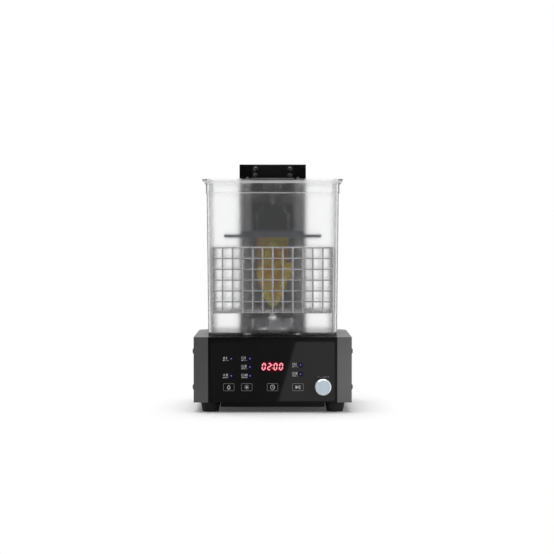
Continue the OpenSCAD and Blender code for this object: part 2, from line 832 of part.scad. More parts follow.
module lens_outline(grow) {
    w = lens_w / 2 + grow;
    polygon([[-w, lens_z[0] + w], [0, lens_z[0] - grow * 0.4], [w, lens_z[0] + w],
        [w, lens_z[1] - w], [0, lens_z[1] + grow * 0.4], [-w, lens_z[1] - w]]);
}

module column_screw_places() {
    for (x = [-col_screw_x, col_screw_x], z = col_screw_z)
        translate([x, col_front + col_d, z]) rotate([-90, 0, 0]) children();
}

module column_housing() {
    block = socket_w / 2 + col_wall;
    color([0.035, 0.035, 0.04]) difference() {
        union() {
            translate([0, col_front, deck_z]) linear_extrude(housing_h) column_profile();
            box_between([-block, col_front, socket_z - col_wall],
                [block, col_front + 2 * col_wall + socket_d, deck_z + housing_h]);
            for (x = [-col_screw_x, col_screw_x], z = col_screw_z)
                rod_y(x, z, 4, col_front + col_d - col_wall - 10, col_front + col_d - col_wall);
        }
        socket_room(socket_z, col_top + cut);
        for (side = [-1, 1]) translate([side * lens_x, col_front + col_wall + cut, 0]) rotate([90, 0, 0])
            linear_extrude(col_wall + 2 * cut) lens_outline(0.15);
        column_screw_places() translate([0, 0, -col_wall - 10]) cylinder(r = col_screw_r, h = 10 + cut);
    }
}

module column_rear_cover() {
    rows = 8;
    color([0.045, 0.045, 0.05]) difference() {
        box_between([-col_w / 2, col_front + col_d - col_wall, deck_z],
            [col_w / 2, col_front + col_d, deck_z + housing_h]);
        column_screw_places() translate([0, 0, -col_wall - cut])
            cylinder(r = col_screw_r + 0.1, h = col_wall + 2 * cut);
        for (i = [0 : rows - 1]) {
            z = col_top - 34 - i * 6;
            box_between([-30, col_front + col_d - col_wall - cut, z], [30, col_front + col_d + cut, z + 2.4]);
        }
    }
}

module column_cap() {
    color([0.035, 0.035, 0.04]) difference() {
        box_between([-col_w / 2, col_front, col_top - cap_t], [col_w / 2, col_front + col_d, col_top]);
        socket_room(col_top - cap_t - cut, col_top + cut);
    }
}

module column_screws() {
    color([0.15, 0.15, 0.15]) column_screw_places() button_screw(col_screw_r, col_wall + 8, [2.8, 1.5]);
}

module lamp_lens(side) {
    color([0.75, 0.78, 0.82, 0.6]) translate([side * lens_x, 0, 0]) {
        translate([0, col_front + col_wall, 0]) rotate([90, 0, 0])
            linear_extrude(col_wall + 0.5) lens_outline(0);
        translate([0, col_front + col_wall + lens_flange, 0]) rotate([90, 0, 0])
            linear_extrude(lens_flange) lens_outline(lens_flange);
    }
}

module lamp_lens_left() {
    lamp_lens(-1);
}

module lamp_lens_right() {
    lamp_lens(1);
}

module lamp_strip(side) {
    y0 = col_front + col_wall + lens_flange + strip_gap;
    low = lens_z[0] + 6;
    high = lens_z[1] - 6;
    color([0.85, 0.86, 0.84]) {
        box_between([side * lens_x - strip_w / 2, y0, low],
            [side * lens_x + strip_w / 2, y0 + strip_t, high]);
        for (i = [0 : lamps - 1]) {
            z = low + (high - low) * (i + 0.5) / lamps;
            box_between([side * lens_x - lamp_w / 2, y0 - lamp_t, z - lamp_w / 2],
                [side * lens_x + lamp_w / 2, y0 + 0.1, z + lamp_w / 2]);
        }
    }
}

module lamp_strip_left() {
    lamp_strip(-1);
}

module lamp_strip_right() {
    lamp_strip(1);
}

// Finned bars that carry the lamp strips on the side walls of the column
module lamp_heatsinks() {
    y0 = col_front + col_wall + lens_flange + strip_gap + strip_t;
    wall_x = col_w / 2 - col_wall;
    low = lens_z[0] + 4;
    high = lens_z[1] - 4;
    color([0.7, 0.71, 0.73]) for (side = [0, 1]) mirror([side, 0, 0]) {
        box_between([lens_x - strip_w / 2, y0, low], [wall_x, y0 + 3, high]);
        for (i = [0 : 3]) {
            x = lens_x - strip_w / 2 + i * 3.6;
            box_between([x, y0 + 2.5, low], [x + 1.2, y0 + sink_t, high]);
        }
    }
}

// Tank and stirrer

// Corner points of a rounded rectangle, with n steps round each corner
function round_points(w, d, r, n = 12) = [for (q = [0 : 3], i = [0 : n])
    let(a = 90 * (q + i / n), sx = q == 0 || q == 3 ? 1 : -1, sy = q < 2 ? 1 : -1)
    [sx * (w / 2 - r) + r * cos(a), sy * (d / 2 - r) + r * sin(a)]];

// How far a wall has leant in at a height
function lean(z) = tank_draft * (rim_z - z) / tank_h;

// The tank's outer form set in by inset, between two heights, with walls that lean in downwards
module leaning_block(inset, low, high) {
    top = [tank_w, tank_d] - 2 * [inset + lean(high), inset + lean(high)];
    foot = [tank_w, tank_d] - 2 * [inset + lean(low), inset + lean(low)];
    translate([0, tank_yc, high]) mirror([0, 0, 1])
        linear_extrude(high - low, scale = [foot[0] / top[0], foot[1] / top[1]], slices = 1)
            polygon(round_points(top[0], top[1], tank_corner - inset));
}

// A level band round the tank, out beyond its wall, up to the rim
module rim_band(out, h) {
    translate([0, tank_yc, rim_z - h]) linear_extrude(h)
        rounded_rect(tank_w + 2 * out, tank_d + 2 * out, tank_corner + out);
}

// Ledge under the rim to lift the tank by, with rounded ends and a sloping underside
module side_grip() {
    run = tank_d - 2 * tank_corner - 6;
    x = tank_w / 2;
    intersection() {
        translate([0, tank_yc + run / 2, 0]) rotate([90, 0, 0]) linear_extrude(run)
            polygon([[x - 1, rim_z], [x + grip_out, rim_z], [x + grip_out, rim_z - 2.4],
                [x + grip_out - 1, rim_z - 3.4], [x - 0.2, rim_z - 10.2], [x - 1, rim_z - 10.2]]);
        translate([0, tank_yc, rim_z - 20]) linear_extrude(30)
            rounded_rect(2 * (x + grip_out), run, grip_out + 2);
    }
}

module wash_tank() {
    color([0.90, 0.91, 0.92, 0.45]) difference() {
        union() {
            difference() {
                union() {
                    leaning_block(0, deck_z, rim_z - rim_h);
                    rim_band(step_out, rim_h + step_h);
                    rim_band(rim_out, rim_h);
                    side_grip();
                    mirror([1, 0, 0]) side_grip();
                }
                leaning_block(tank_wall, floor_z, rim_z + cut);
            }
            translate([0, tank_yc, floor_z - 0.5]) cylinder(r = pivot_boss_r, h = pivot_boss_h + 0.5);
        }
        translate([0, tank_yc, deck_z - cut]) cylinder(r = deck_boss_r + 0.6, h = recess_h + cut, $fn = 96);
        translate([0, tank_yc, deck_z + recess_h + 1])
            cylinder(r = pivot_d / 2, h = tank_floor + pivot_boss_h);
    }
}

module pivot_pin() {
    low = deck_z + recess_h + 1;
    high = stirrer_z + bush_h + 0.6;
    color([0.8, 0.8, 0.82]) translate([0, tank_yc, low]) {
        cylinder(r = pivot_d / 2, h = high - low);
        translate([0, 0, high - low - 0.01]) cylinder(r1 = pivot_d / 2 + 1.4, r2 = pivot_d / 2, h = 1.8);
    }
}

// One swept blade: a strip that curves from the hub to the rim of the disc
module blade_plan() {
    steps = 10;
    sweep = 46;
    half = 1.1;
    reach = stirrer_d / 2 - 1.2;
    from = stirrer_hub_r - 1;
    function at(t, side) = let(r = from + (reach - from) * t, a = sweep * t * t)
        [r * cos(a) - side * half * sin(a + 20 * t), r * sin(a) + side * half * cos(a + 20 * t)];
    polygon(concat([for (i = [0 : steps]) at(i / steps, 1)], [for (i = [steps : -1 : 0]) at(i / steps, -1)]));
}

module stirrer() {
    low = floor_z + stirrer_gap;
    color([0.30, 0.31, 0.33]) translate([0, tank_yc, 0]) difference() {
        union() {
            translate([0, 0, low]) cylinder(r = stirrer_d / 2, h = stirrer_disc_t, $fn = 96);
            translate([0, 0, low]) cylinder(r = stirrer_core_r, h = stirrer_core_t, $fn = 96);
            translate([0, 0, stirrer_z]) cylinder(r = stirrer_hub_r, h = stirrer_hub_h);
            for (i = [0 : blades - 1]) rotate(i * 360 / blades)
                translate([0, 0, low + 1]) linear_extrude(stirrer_disc_t - 1 + blade_h) blade_plan();
        }
        translate([0, 0, low - cut]) cylinder(r = pivot_boss_r + 0.4, h = stirrer_z - low + cut);
        translate([0, 0, low - cut]) cylinder(r = bush_r, h = stirrer_hub_h + 30);
        for (a = [0 : 360 / magnets : 359]) rotate(a + 45) translate([magnet_ring, 0, low - cut])
            cylinder(r = magnet_r, h = magnet_t + cut);
    }
}

// Steel bush that runs on the pivot pin: a hexagon for the spanner, a groove and a domed top
module stirrer_bush() {
    hex_h = 7.5;
    color([0.80, 0.81, 0.83]) translate([0, tank_yc, stirrer_z]) difference() {
        union() {
            cylinder(r = bush_r, h = stirrer_hub_h + 0.6);
            translate([0, 0, stirrer_hub_h + 0.5])
                cylinder(r = bush_r + 0.7, h = hex_h - stirrer_hub_h, $fn = 6);
            rotate_extrude() polygon([[0, 1], [bush_r - bush_groove, 1], [bush_r - bush_groove, hex_h + 1.8],
                [bush_r, hex_h + 2.6], [bush_r, bush_h - 2.2], [bush_r - 0.7, bush_h - 0.7],
                [bush_r - 2, bush_h], [0, bush_h]]);
        }
        translate([0, 0, -cut]) cylinder(r = pivot_d / 2 + run_gap, h = bush_h + 2 * cut);
    }
}

module stirrer_magnets() {
    color([0.62, 0.63, 0.66]) translate([0, tank_yc, floor_z + stirrer_gap])
        for (a = [0 : 360 / magnets : 359]) rotate(a + 45) translate([magnet_ring, 0, 0])
            cylinder(r = magnet_r, h = magnet_t);
}

// Basket: welded wire panels. The corner posts belong to the front and back panels.

module wire_up(x, y, z0, z1) {
    translate([x, y, z0]) cylinder(r = wire_d / 2, h = z1 - z0, $fn = 16);
}

module wire_x(y, z, x0, x1, d) {
    translate([x0, y, z]) rotate([0, 90, 0]) cylinder(r = d / 2, h = x1 - x0, $fn = 16);
}

module wire_y(x, z, y0, y1, d) {
    translate([x, y0, z]) rotate([-90, 0, 0]) cylinder(r = d / 2, h = y1 - y0, $fn = 16);
}

// The four posts run past the basket's floor down to the floor of the tank, as its legs
module basket_posts() {
    color([0.72, 0.73, 0.74]) for (x = [-1, 1], y = [-1, 1])
        translate([x * basket_x, tank_yc + y * basket_y, floor_z + slack]) {
            cylinder(r1 = post_d / 2 - 0.5, r2 = post_d / 2, h = 0.5, $fn = 24);
            translate([0, 0, 0.49]) cylinder(r = post_d / 2, h = post_top - floor_z - slack - 0.98, $fn = 24);
            translate([0, 0, post_top - floor_z - slack - 0.5])
                cylinder(r1 = post_d / 2, r2 = post_d / 2 - 0.5, h = 0.5, $fn = 24);
        }
}

// side is -1 for the front panel and 1 for the back
module basket_long_panel(side) {
    reach = basket_x - post_d / 2 - weld_gap;
    color([0.72, 0.73, 0.74]) translate([0, tank_yc, basket_z]) {
        for (i = [1 : cells_x - 1])
            wire_up((i - cells_x / 2) * mesh_x, side * basket_y, 0, basket_h + wire_d / 2);
        for (k = [0 : cells_z])
            wire_x(side * (basket_y - level_in), level_in + k * mesh_z, -reach, reach, level_wire_d(k));
    }
}

// side is -1 for the left panel and 1 for the right
module basket_short_panel(side) {
    reach = basket_y - level_in - level_wire_d(0) / 2 - weld_gap;
    color([0.72, 0.73, 0.74]) translate([0, tank_yc, basket_z]) {
        for (j = [1 : cells_y - 1])
            wire_up(side * basket_x, (j - cells_y / 2) * mesh_y, 0, basket_h + wire_d / 2);
        for (k = [0 : cells_z])
            wire_y(side * (basket_x - level_in), level_in + k * mesh_z, -reach, reach, level_wire_d(k));
    }
}

module basket_front() {
    basket_long_panel(-1);
}

module basket_back() {
    basket_long_panel(1);
}

module basket_left() {
    basket_short_panel(-1);
}

module basket_right() {
    basket_short_panel(1);
}

module basket_floor() {
    edge = level_in + level_wire_d(0) / 2 + weld_gap;
    reach_x = basket_x - edge;
    reach_y = basket_y - edge;
    color([0.72, 0.73, 0.74]) translate([0, tank_yc, basket_z]) {
        for (i = [1 : cells_x - 1])
            wire_y((i - cells_x / 2) * mesh_x, level_in, -reach_y, reach_y, thin_wire_d);
        for (j = [1 : cells_y - 1])
            wire_x((j - cells_y / 2) * mesh_y, level_in + thin_wire_d * 0.8, -reach_x, reach_x, thin_wire_d);
    }
}

// Carrier and platform

// Tongue on the back of the bracket that drops into the column's socket
module carrier_tongue() {
    neck = socket_w / 2 - lip_w - socket_gap;
    wide = socket_w / 2 - socket_gap;
    color([0.10, 0.10, 0.105]) difference() {
        union() {
            box_between([-neck, carrier_back, tongue_z], [neck, col_front + col_wall + 1, carrier_top]);
            box_between([-wide, col_front + col_wall + socket_gap, tongue_z],
                [wide, col_front + col_wall + socket_d - socket_gap, carrier_top]);
        }
        for (x = [-carrier_screw_x, carrier_screw_x], z = carrier_screw_z)
            rod_y(x, z, carrier_screw_r, carrier_back - cut, carrier_back + 7);
    }
}

// Points round a bend, from angle a0 to a1 about a centre [y, z]
function bend(centre, r, a0, a1) =
    [for (i = [0 : 6]) let(a = a0 + (a1 - a0) * i / 6) centre + r * [cos(a), sin(a)]];

// Side view of the bent plate: shelf, drop, arm and back plate, with three bends
module carrier_side() {
    t = carrier_t;
    out_r = bend_r + t;
    front = drop_y - shelf_d;
    back = carrier_back;
    shelf_bend = [drop_y - bend_r, shelf_z + out_r];
    arm_bend = [drop_y + t + bend_r, arm_z - bend_r];
    back_bend = [back - out_r, arm_z + out_r];
    polygon(concat(
        [[front, shelf_z + 1], [front + 1, shelf_z]],
        bend(shelf_bend, out_r, 270, 360),
        bend(arm_bend, bend_r, 180, 90),
        bend(back_bend, out_r, 270, 360),
        [[back, carrier_top], [back - t + 1, carrier_top], [back - t, carrier_top - 1]],
        bend(back_bend, bend_r, 360, 270),
        bend(arm_bend, out_r, 90, 180),
        bend(shelf_bend, bend_r, 360, 270),
        [[front + 1, shelf_z + t], [front, shelf_z + t - 1]]));
}

module carrier_bracket() {
    color([0.035, 0.035, 0.04]) difference() {
        translate([-carrier_w / 2, 0, 0]) rotate([90, 0, 90]) linear_extrude(carrier_w) carrier_side();
        translate([0, tank_yc, shelf_z - cut]) cylinder(r = hanger_r + run_gap, h = carrier_t + 2 * cut);
        for (x = [-carrier_screw_x, carrier_screw_x], z = carrier_screw_z)
            rod_y(x, z, carrier_screw_r + 0.15, carrier_back - carrier_t - cut, carrier_back + cut);
    }
}

module carrier_screws() {
    color([0.35, 0.35, 0.36]) for (x = [-carrier_screw_x, carrier_screw_x], z = carrier_screw_z)
        translate([x, carrier_back - carrier_t, z]) rotate([90, 0, 0])
            button_screw(carrier_screw_r, carrier_t + 6, carrier_screw_head);
}

// Lobed hand knob above the shelf
module clamp_knob() {
    lobes = 8;
    z0 = shelf_z + carrier_t + slack;
    color([0.06, 0.06, 0.06]) translate([0, tank_yc, z0]) difference() {
        union() {
            cylinder(r = 8, h = 3);
            translate([0, 0, 2]) cylinder(r = clamp_r, h = clamp_h - 3);
            translate([0, 0, clamp_h - 1.01]) cylinder(r1 = clamp_r, r2 = clamp_r - 1, h = 1);
        }
        for (i = [0 : lobes - 1]) rotate(i * 360 / lobes) translate([clamp_r + 2.6, 0, 1])
            cylinder(r = 4, h = clamp_h + cut);
        translate([0, 0, -cut]) cylinder(r = hanger_r, h = clamp_h - 3 + cut);
    }
}

module hanger_screw() {
    top = shelf_z + carrier_t + slack + clamp_h - 3;
    low = head_top - hanger_in;
    color([0.78, 0.78, 0.80]) translate([0, tank_yc, low]) {
        cylinder(r1 = hanger_r - 0.8, r2 = hanger_r, h = 0.8);
        translate([0, 0, 0.79]) cylinder(r = hanger_r, h = top - low - 0.79);
    }
}

module lock_nut() {
    color([0.8, 0.8, 0.82]) translate([0, tank_yc, shelf_z - 4.2]) difference() {
        union() {
            cylinder(r = 6, h = 3.4, $fn = 6);
            translate([0, 0, 3.3]) cylinder(r = 7, h = 0.9);
        }
        translate([0, 0, -cut]) cylinder(r = hanger_r + run_gap, h = 4.2 + 2 * cut);
    }
}

// Two-step head with a rear plate, whose upright dovetail fits the slide of a printer
module platform_head() {
    block_h = head_h - neck_h;
    mouth = dovetail[0] / 2;
    root = dovetail[0] / 2 + 3;
    rear = head_w / 2 + rear_plate[2];
    color([0.07, 0.07, 0.075]) translate([0, tank_yc, head_z]) difference() {
        union() {
            linear_extrude(block_h - 3) rounded_rect(head_w, head_w, 3);
            translate([0, 0, block_h - 3.01]) linear_extrude(3.01) rounded_rect(head_w - 5, head_w - 5, 3);
            translate([0, 0, block_h - 0.01]) linear_extrude(neck_h - 2) rounded_rect(neck_w, neck_w, 5);
            translate([0, 0, head_h - 2.02]) linear_extrude(2.02) rounded_rect(neck_w - 3, neck_w - 3, 4);
            linear_extrude(rear_plate[1]) polygon([[-rear_plate[0] / 2, head_w / 2 - 1],
                [rear_plate[0] / 2, head_w / 2 - 1], [rear_plate[0] / 2, rear - 2],
                [rear_plate[0] / 2 - 2, rear], [mouth, rear], [root, rear - dovetail[1]],
                [-root, rear - dovetail[1]], [-mouth, rear], [2 - rear_plate[0] / 2, rear],
                [-rear_plate[0] / 2, rear - 2]]);
        }
        translate([0, 0, head_h - hanger_in - 2]) cylinder(r = hanger_r + run_gap, h = hanger_in + 2 + cut);
        for (x = [-1, 1], y = level_screw_y) translate([x * (head_w / 2 + cut), y, level_screw_z - head_z])
            rotate([0, -x * 90, 0]) cylinder(r = level_screw_r, h = 10 + cut);
        for (z = [5, 9], side = [-1, 1])
            box_between([-head_w / 2 - cut, side * head_w / 2 - 0.8, z],
                [head_w / 2 + cut, side * head_w / 2 + 0.8, z + 1.2]);
    }
}

module levelling_screws() {
    color([0.45, 0.45, 0.46]) for (x = [0, 1], y = level_screw_y) mirror([x, 0, 0])
        translate([head_w / 2, tank_yc + y, level_screw_z]) rotate([0, 90, 0]) difference() {
            union() {
                translate([0, 0, -9]) cylinder(r = level_screw_r, h = 9.01);
                cylinder(r = 4.2, h = 2.6);
            }
            translate([0, 0, 1]) cylinder(r = 2, h = 3, $fn = 6);
        }
}

module build_plate() {
    edge = 1;
    color([0.60, 0.61, 0.63]) translate([0, tank_yc, plate_z]) {
        linear_extrude(edge) rounded_rect(plate_w - 2 * edge, plate_d - 2 * edge, 2);
        translate([0, 0, edge - 0.01]) linear_extrude(plate_t - edge + 0.01)
            rounded_rect(plate_w, plate_d, 3);
        translate([0, 0, plate_t - 0.01]) linear_extrude(plinth[2] + 0.01)
            rounded_rect(plinth[0], plinth[1], 4);
    }
}

// Printed work: a raft, its supports, two dental arches back to back and a small bridge
raft = [49, 34, 2.5];
arch_w = 47;
arch_band = 9;
arch_t = 10;
palate_t = 2.5;
support_gap = 4;
teeth = 12;
pontics = 3;
pontic_pitch = 8.5;

// Height of an arch's edge at a share u of its half width
function arch_edge(h, u) = h * (1 - u * u);

function arch_curve(half, h, n) = [for (i = [-n : n]) [half * i / n, arch_edge(h, i / n)]];

// An arch model set on end: its ridge with teeth on the front, and its thin palate behind
module arch_model(h) {
    ridge = arch_w / 2 - arch_band / 2;
    inner = [for (i = [12 : -1 : -12]) [(arch_w / 2 - arch_band) * i / 12, arch_edge(h - arch_band, i / 12)]];
    rotate([90, 0, 0]) translate([0, 0, -arch_t / 2]) linear_extrude(arch_t)
        polygon(concat(arch_curve(arch_w / 2, h, 12), inner));
    translate([0, arch_t / 2, 0]) rotate([90, 0, 0]) linear_extrude(palate_t)
        polygon(arch_curve(arch_w / 2 - 2, h - 2, 12));
    for (i = [0 : teeth - 1]) {
        u = 0.92 * (2 * i / (teeth - 1) - 1);
        wide = 2.6 + 1.1 * abs(u);
        translate([ridge * u, 0.5 - arch_t / 2, arch_edge(h - arch_band / 2, u) + 1])
            rotate([90, 0, 0]) cylinder(r1 = wide, r2 = wide * 0.7, h = 5.5, $fn = 16);
    }
}

module resin_print() {
    arch_h = (print_h - raft[2] - support_gap) / 2;
    middle = -raft[2] - support_gap - arch_h;
    color([0.80, 0.62, 0.20]) translate([0, tank_yc, plate_z]) {
        translate([0, 0, -1.2]) linear_extrude(1.2) rounded_rect(raft[0], raft[1], 3);
        translate([0, 0, -raft[2]]) linear_extrude(raft[2] - 1.19) rounded_rect(raft[0] - 3, raft[1] - 3, 3);
        for (i = [-5 : 5], y = [-3, 3]) {
            u = i / 5.6;
            reach = -middle - raft[2] - arch_edge(arch_h, u) + 1.5;
            translate([u * arch_w / 2, y, -raft[2] + 0.1]) mirror([0, 0, 1])
                cylinder(r1 = 1.5, r2 = 0.8, h = reach, $fn = 16);
        }
        translate([0, 0, middle - 0.05]) arch_model(arch_h + 0.05);
        translate([0, 0, middle + 0.05]) mirror([0, 0, 1]) arch_model(arch_h + 0.05);
        for (k = [0 : pontics - 1]) translate([arch_w / 2 - 0.5, 0, middle + (1 - k) * pontic_pitch + 4])
            sphere(r = 5.4 - k * 0.4, $fn = 24);
    }
}

side_cheek_left();
side_cheek_right();
cheek_screws();
chassis();
deck();
deck_screws();
base_pan();
pan_screws();
feet();
foot_screws();
panel_frame();
front_glass();
control_board();
display_module();
touch_springs();
encoder_body();
push_sleeve();
encoder_shaft();
control_knob();
motor_bracket();
motor();
motor_screws();
motor_shaft();
drive_rotor();
drive_magnets();
power_board();
dc_jack();
jack_nut();
fan_frame();
fan_rotor();
column_housing();
column_rear_cover();
column_cap();
column_screws();
lamp_lens_left();
lamp_lens_right();
lamp_strip_left();
lamp_strip_right();
lamp_heatsinks();
wash_tank();
pivot_pin();
stirrer();
stirrer_bush();
stirrer_magnets();
basket_posts();
basket_front();
basket_back();
basket_left();
basket_right();
basket_floor();
carrier_tongue();
carrier_bracket();
carrier_screws();
clamp_knob();
hanger_screw();
lock_nut();
platform_head();
levelling_screws();
build_plate();
resin_print();
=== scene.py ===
import math

import bmesh
import bpy
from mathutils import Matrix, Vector


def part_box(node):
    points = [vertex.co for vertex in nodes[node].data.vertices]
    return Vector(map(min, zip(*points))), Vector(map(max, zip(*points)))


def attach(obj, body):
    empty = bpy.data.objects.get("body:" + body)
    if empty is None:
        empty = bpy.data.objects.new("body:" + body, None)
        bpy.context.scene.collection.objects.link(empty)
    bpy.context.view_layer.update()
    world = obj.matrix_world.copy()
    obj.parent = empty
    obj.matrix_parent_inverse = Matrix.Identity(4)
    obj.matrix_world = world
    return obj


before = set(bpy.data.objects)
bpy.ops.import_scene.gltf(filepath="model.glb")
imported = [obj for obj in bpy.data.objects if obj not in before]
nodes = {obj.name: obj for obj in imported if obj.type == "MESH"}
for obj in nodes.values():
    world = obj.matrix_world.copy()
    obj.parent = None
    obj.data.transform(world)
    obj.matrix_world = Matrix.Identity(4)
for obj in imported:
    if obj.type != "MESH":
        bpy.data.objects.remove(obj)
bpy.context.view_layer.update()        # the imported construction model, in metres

print("stage 1: frame loaded with", len(nodes), "nodes")


# Small helpers for node trees

def addNode(tree, kind, inputs=None, **settings):
    node = tree.nodes.new(kind)
    for name, value in settings.items():
        setattr(node, name, value)
    for name, value in (inputs or {}).items():
        node.inputs[name].default_value = value
    return node


def join(tree, source, target):
    tree.links.new(source, target)


def mathNode(tree, operation, first, second=None):
    node = addNode(tree, "ShaderNodeMath", operation=operation)
    for place, value in enumerate((first, second)):
        if value is None:
            continue
        if isinstance(value, (int, float)):
            node.inputs[place].default_value = value
        else:
            join(tree, value, node.inputs[place])
    return node.outputs[0]


def rangeNode(tree, value, fromLow, fromHigh, toLow, toHigh):
    node = addNode(tree, "ShaderNodeMapRange", {"From Min": fromLow, "From Max": fromHigh,
                                                "To Min": toLow, "To Max": toHigh}, clamp=True)
    join(tree, value, node.inputs["Value"])
    return node.outputs["Result"]


def mixColours(tree, factor, first, second):
    node = addNode(tree, "ShaderNodeMix", data_type="RGBA")
    join(tree, factor, node.inputs["Factor"])
    for socket, colour in ((node.inputs["A"], first), (node.inputs["B"], second)):
        if isinstance(colour, (tuple, list)):
            socket.default_value = (*colour[:3], 1)
        else:
            join(tree, colour, socket)
    return node.outputs["Result"]


def startGroup(name, inputs, outputs):
    group = bpy.data.node_groups.new(name, "ShaderNodeTree")
    for label, value in inputs.items():
        socket = group.interface.new_socket(name=label, in_out="INPUT", socket_type="NodeSocketFloat")
        socket.default_value = value
    for label in outputs:
        group.interface.new_socket(name=label, in_out="OUTPUT", socket_type="NodeSocketFloat")
    return group, group.nodes.new("NodeGroupInput"), group.nodes.new("NodeGroupOutput")


# Shared effects: each puts out masks and heights only

def makeGrainGroup():  # fine grain of a coat, and slow patches of tone
    group, given, made = startGroup("surfaceGrain", {"Grain Scale": 1500.0, "Patch Scale": 30.0},
                                    ["Height", "Patch"])
    place = addNode(group, "ShaderNodeTexCoord")
    fine = addNode(group, "ShaderNodeTexNoise", {"Detail": 3.0, "Roughness": 0.6})
    slow = addNode(group, "ShaderNodeTexNoise", {"Detail": 5.0, "Roughness": 0.55})
    for texture, label in ((fine, "Grain Scale"), (slow, "Patch Scale")):
        join(group, place.outputs["Object"], texture.inputs["Vector"])
        join(group, given.outputs[label], texture.inputs["Scale"])
    join(group, fine.outputs["Fac"], made.inputs["Height"])
    join(group, rangeNode(group, slow.outputs["Fac"], 0.3, 0.7, 0.0, 1.0), made.inputs["Patch"])
    return group


def makeEdgeWearAndHighlightGroup():  # rubbed edges and painted edge highlights: where a rounded normal leaves the true one
    group, given, made = startGroup("edgeWearAndHighlight", {"Width": 0.0006, "Amount": 1.0, "Break Scale": 260.0},
                                    ["Mask"])
    rounded = addNode(group, "ShaderNodeBevel", samples=4)
    true = addNode(group, "ShaderNodeNewGeometry")
    facing = addNode(group, "ShaderNodeVectorMath", operation="DOT_PRODUCT")
    place = addNode(group, "ShaderNodeTexCoord")
    breaks = addNode(group, "ShaderNodeTexNoise", {"Detail": 4.0, "Roughness": 0.6})
    join(group, given.outputs["Width"], rounded.inputs["Radius"])
    join(group, rounded.outputs["Normal"], facing.inputs[0])
    join(group, true.outputs["Normal"], facing.inputs[1])
    join(group, place.outputs["Object"], breaks.inputs["Vector"])
    join(group, given.outputs["Break Scale"], breaks.inputs["Scale"])
    edge = rangeNode(group, facing.outputs["Value"], 0.995, 0.8, 0.0, 1.0)
    broken = rangeNode(group, breaks.outputs["Fac"], 0.42, 0.62, 0.25, 1.0)
    wornAndHighlit = mathNode(group, "MULTIPLY", mathNode(group, "MULTIPLY", edge, broken), given.outputs["Amount"])
    join(group, wornAndHighlit, made.inputs["Mask"])
    return group


def makeDustGroup():  # what settles on faces that look up
    group, given, made = startGroup("settledDust", {"Amount": 0.3, "Speck Scale": 900.0}, ["Mask"])
    true = addNode(group, "ShaderNodeNewGeometry")
    parts = addNode(group, "ShaderNodeSeparateXYZ")
    place = addNode(group, "ShaderNodeTexCoord")
    specks = addNode(group, "ShaderNodeTexNoise", {"Detail": 6.0, "Roughness": 0.7})
    join(group, true.outputs["Normal"], parts.inputs[0])
    join(group, place.outputs["Object"], specks.inputs["Vector"])
    join(group, given.outputs["Speck Scale"], specks.inputs["Scale"])
    up = rangeNode(group, parts.outputs["Z"], 0.6, 1.0, 0.0, 1.0)
    spread = rangeNode(group, specks.outputs["Fac"], 0.45, 0.75, 0.0, 1.0)
    mask = mathNode(group, "MULTIPLY", mathNode(group, "MULTIPLY", up, spread), given.outputs["Amount"])
    join(group, mask, made.inputs["Mask"])
    return group


def makeBrushGroup():  # drawn or turned lines, long along one axis
    group, given, made = startGroup("brushLines", {"Along X": 40.0, "Along Y": 900.0, "Along Z": 900.0},
                                    ["Height"])
    place = addNode(group, "ShaderNodeTexCoord")
    stretch = addNode(group, "ShaderNodeCombineXYZ")
    scaled = addNode(group, "ShaderNodeVectorMath", operation="MULTIPLY")
    lines = addNode(group, "ShaderNodeTexNoise", {"Scale": 1.0, "Detail": 3.0, "Roughness": 0.5})
    for axis in "XYZ":
        join(group, given.outputs["Along " + axis], stretch.inputs[axis])
    join(group, place.outputs["Object"], scaled.inputs[0])
    join(group, stretch.outputs[0], scaled.inputs[1])
    join(group, scaled.outputs[0], lines.inputs["Vector"])
    join(group, lines.outputs["Fac"], made.inputs["Height"])
    return group


grainGroup = makeGrainGroup()
edgeWearAndHighlightGroup = makeEdgeWearAndHighlightGroup()
dustGroup = makeDustGroup()
brushGroup = makeBrushGroup()


def placeGroup(tree, group, values=None):
    node = tree.nodes.new("ShaderNodeGroup")
    node.node_tree = group
    for name, value in (values or {}).items():
        node.inputs[name].default_value = value
    return node


def startMaterial(name, sockets):
    material = bpy.data.materials.new(name)
    material.use_nodes = True
    tree = material.node_tree
    shader = tree.nodes["Principled BSDF"]
    for label, value in sockets.items():
        shader.inputs[label].default_value = value
    return material, tree, shader


def addBump(tree, shader, height, strength, distance):
    bump = addNode(tree, "ShaderNodeBump", {"Strength": strength, "Distance": distance})
    join(tree, height, bump.inputs["Height"])
    join(tree, bump.outputs["Normal"], shader.inputs["Normal"])


dustTone = (0.45, 0.44, 0.42)
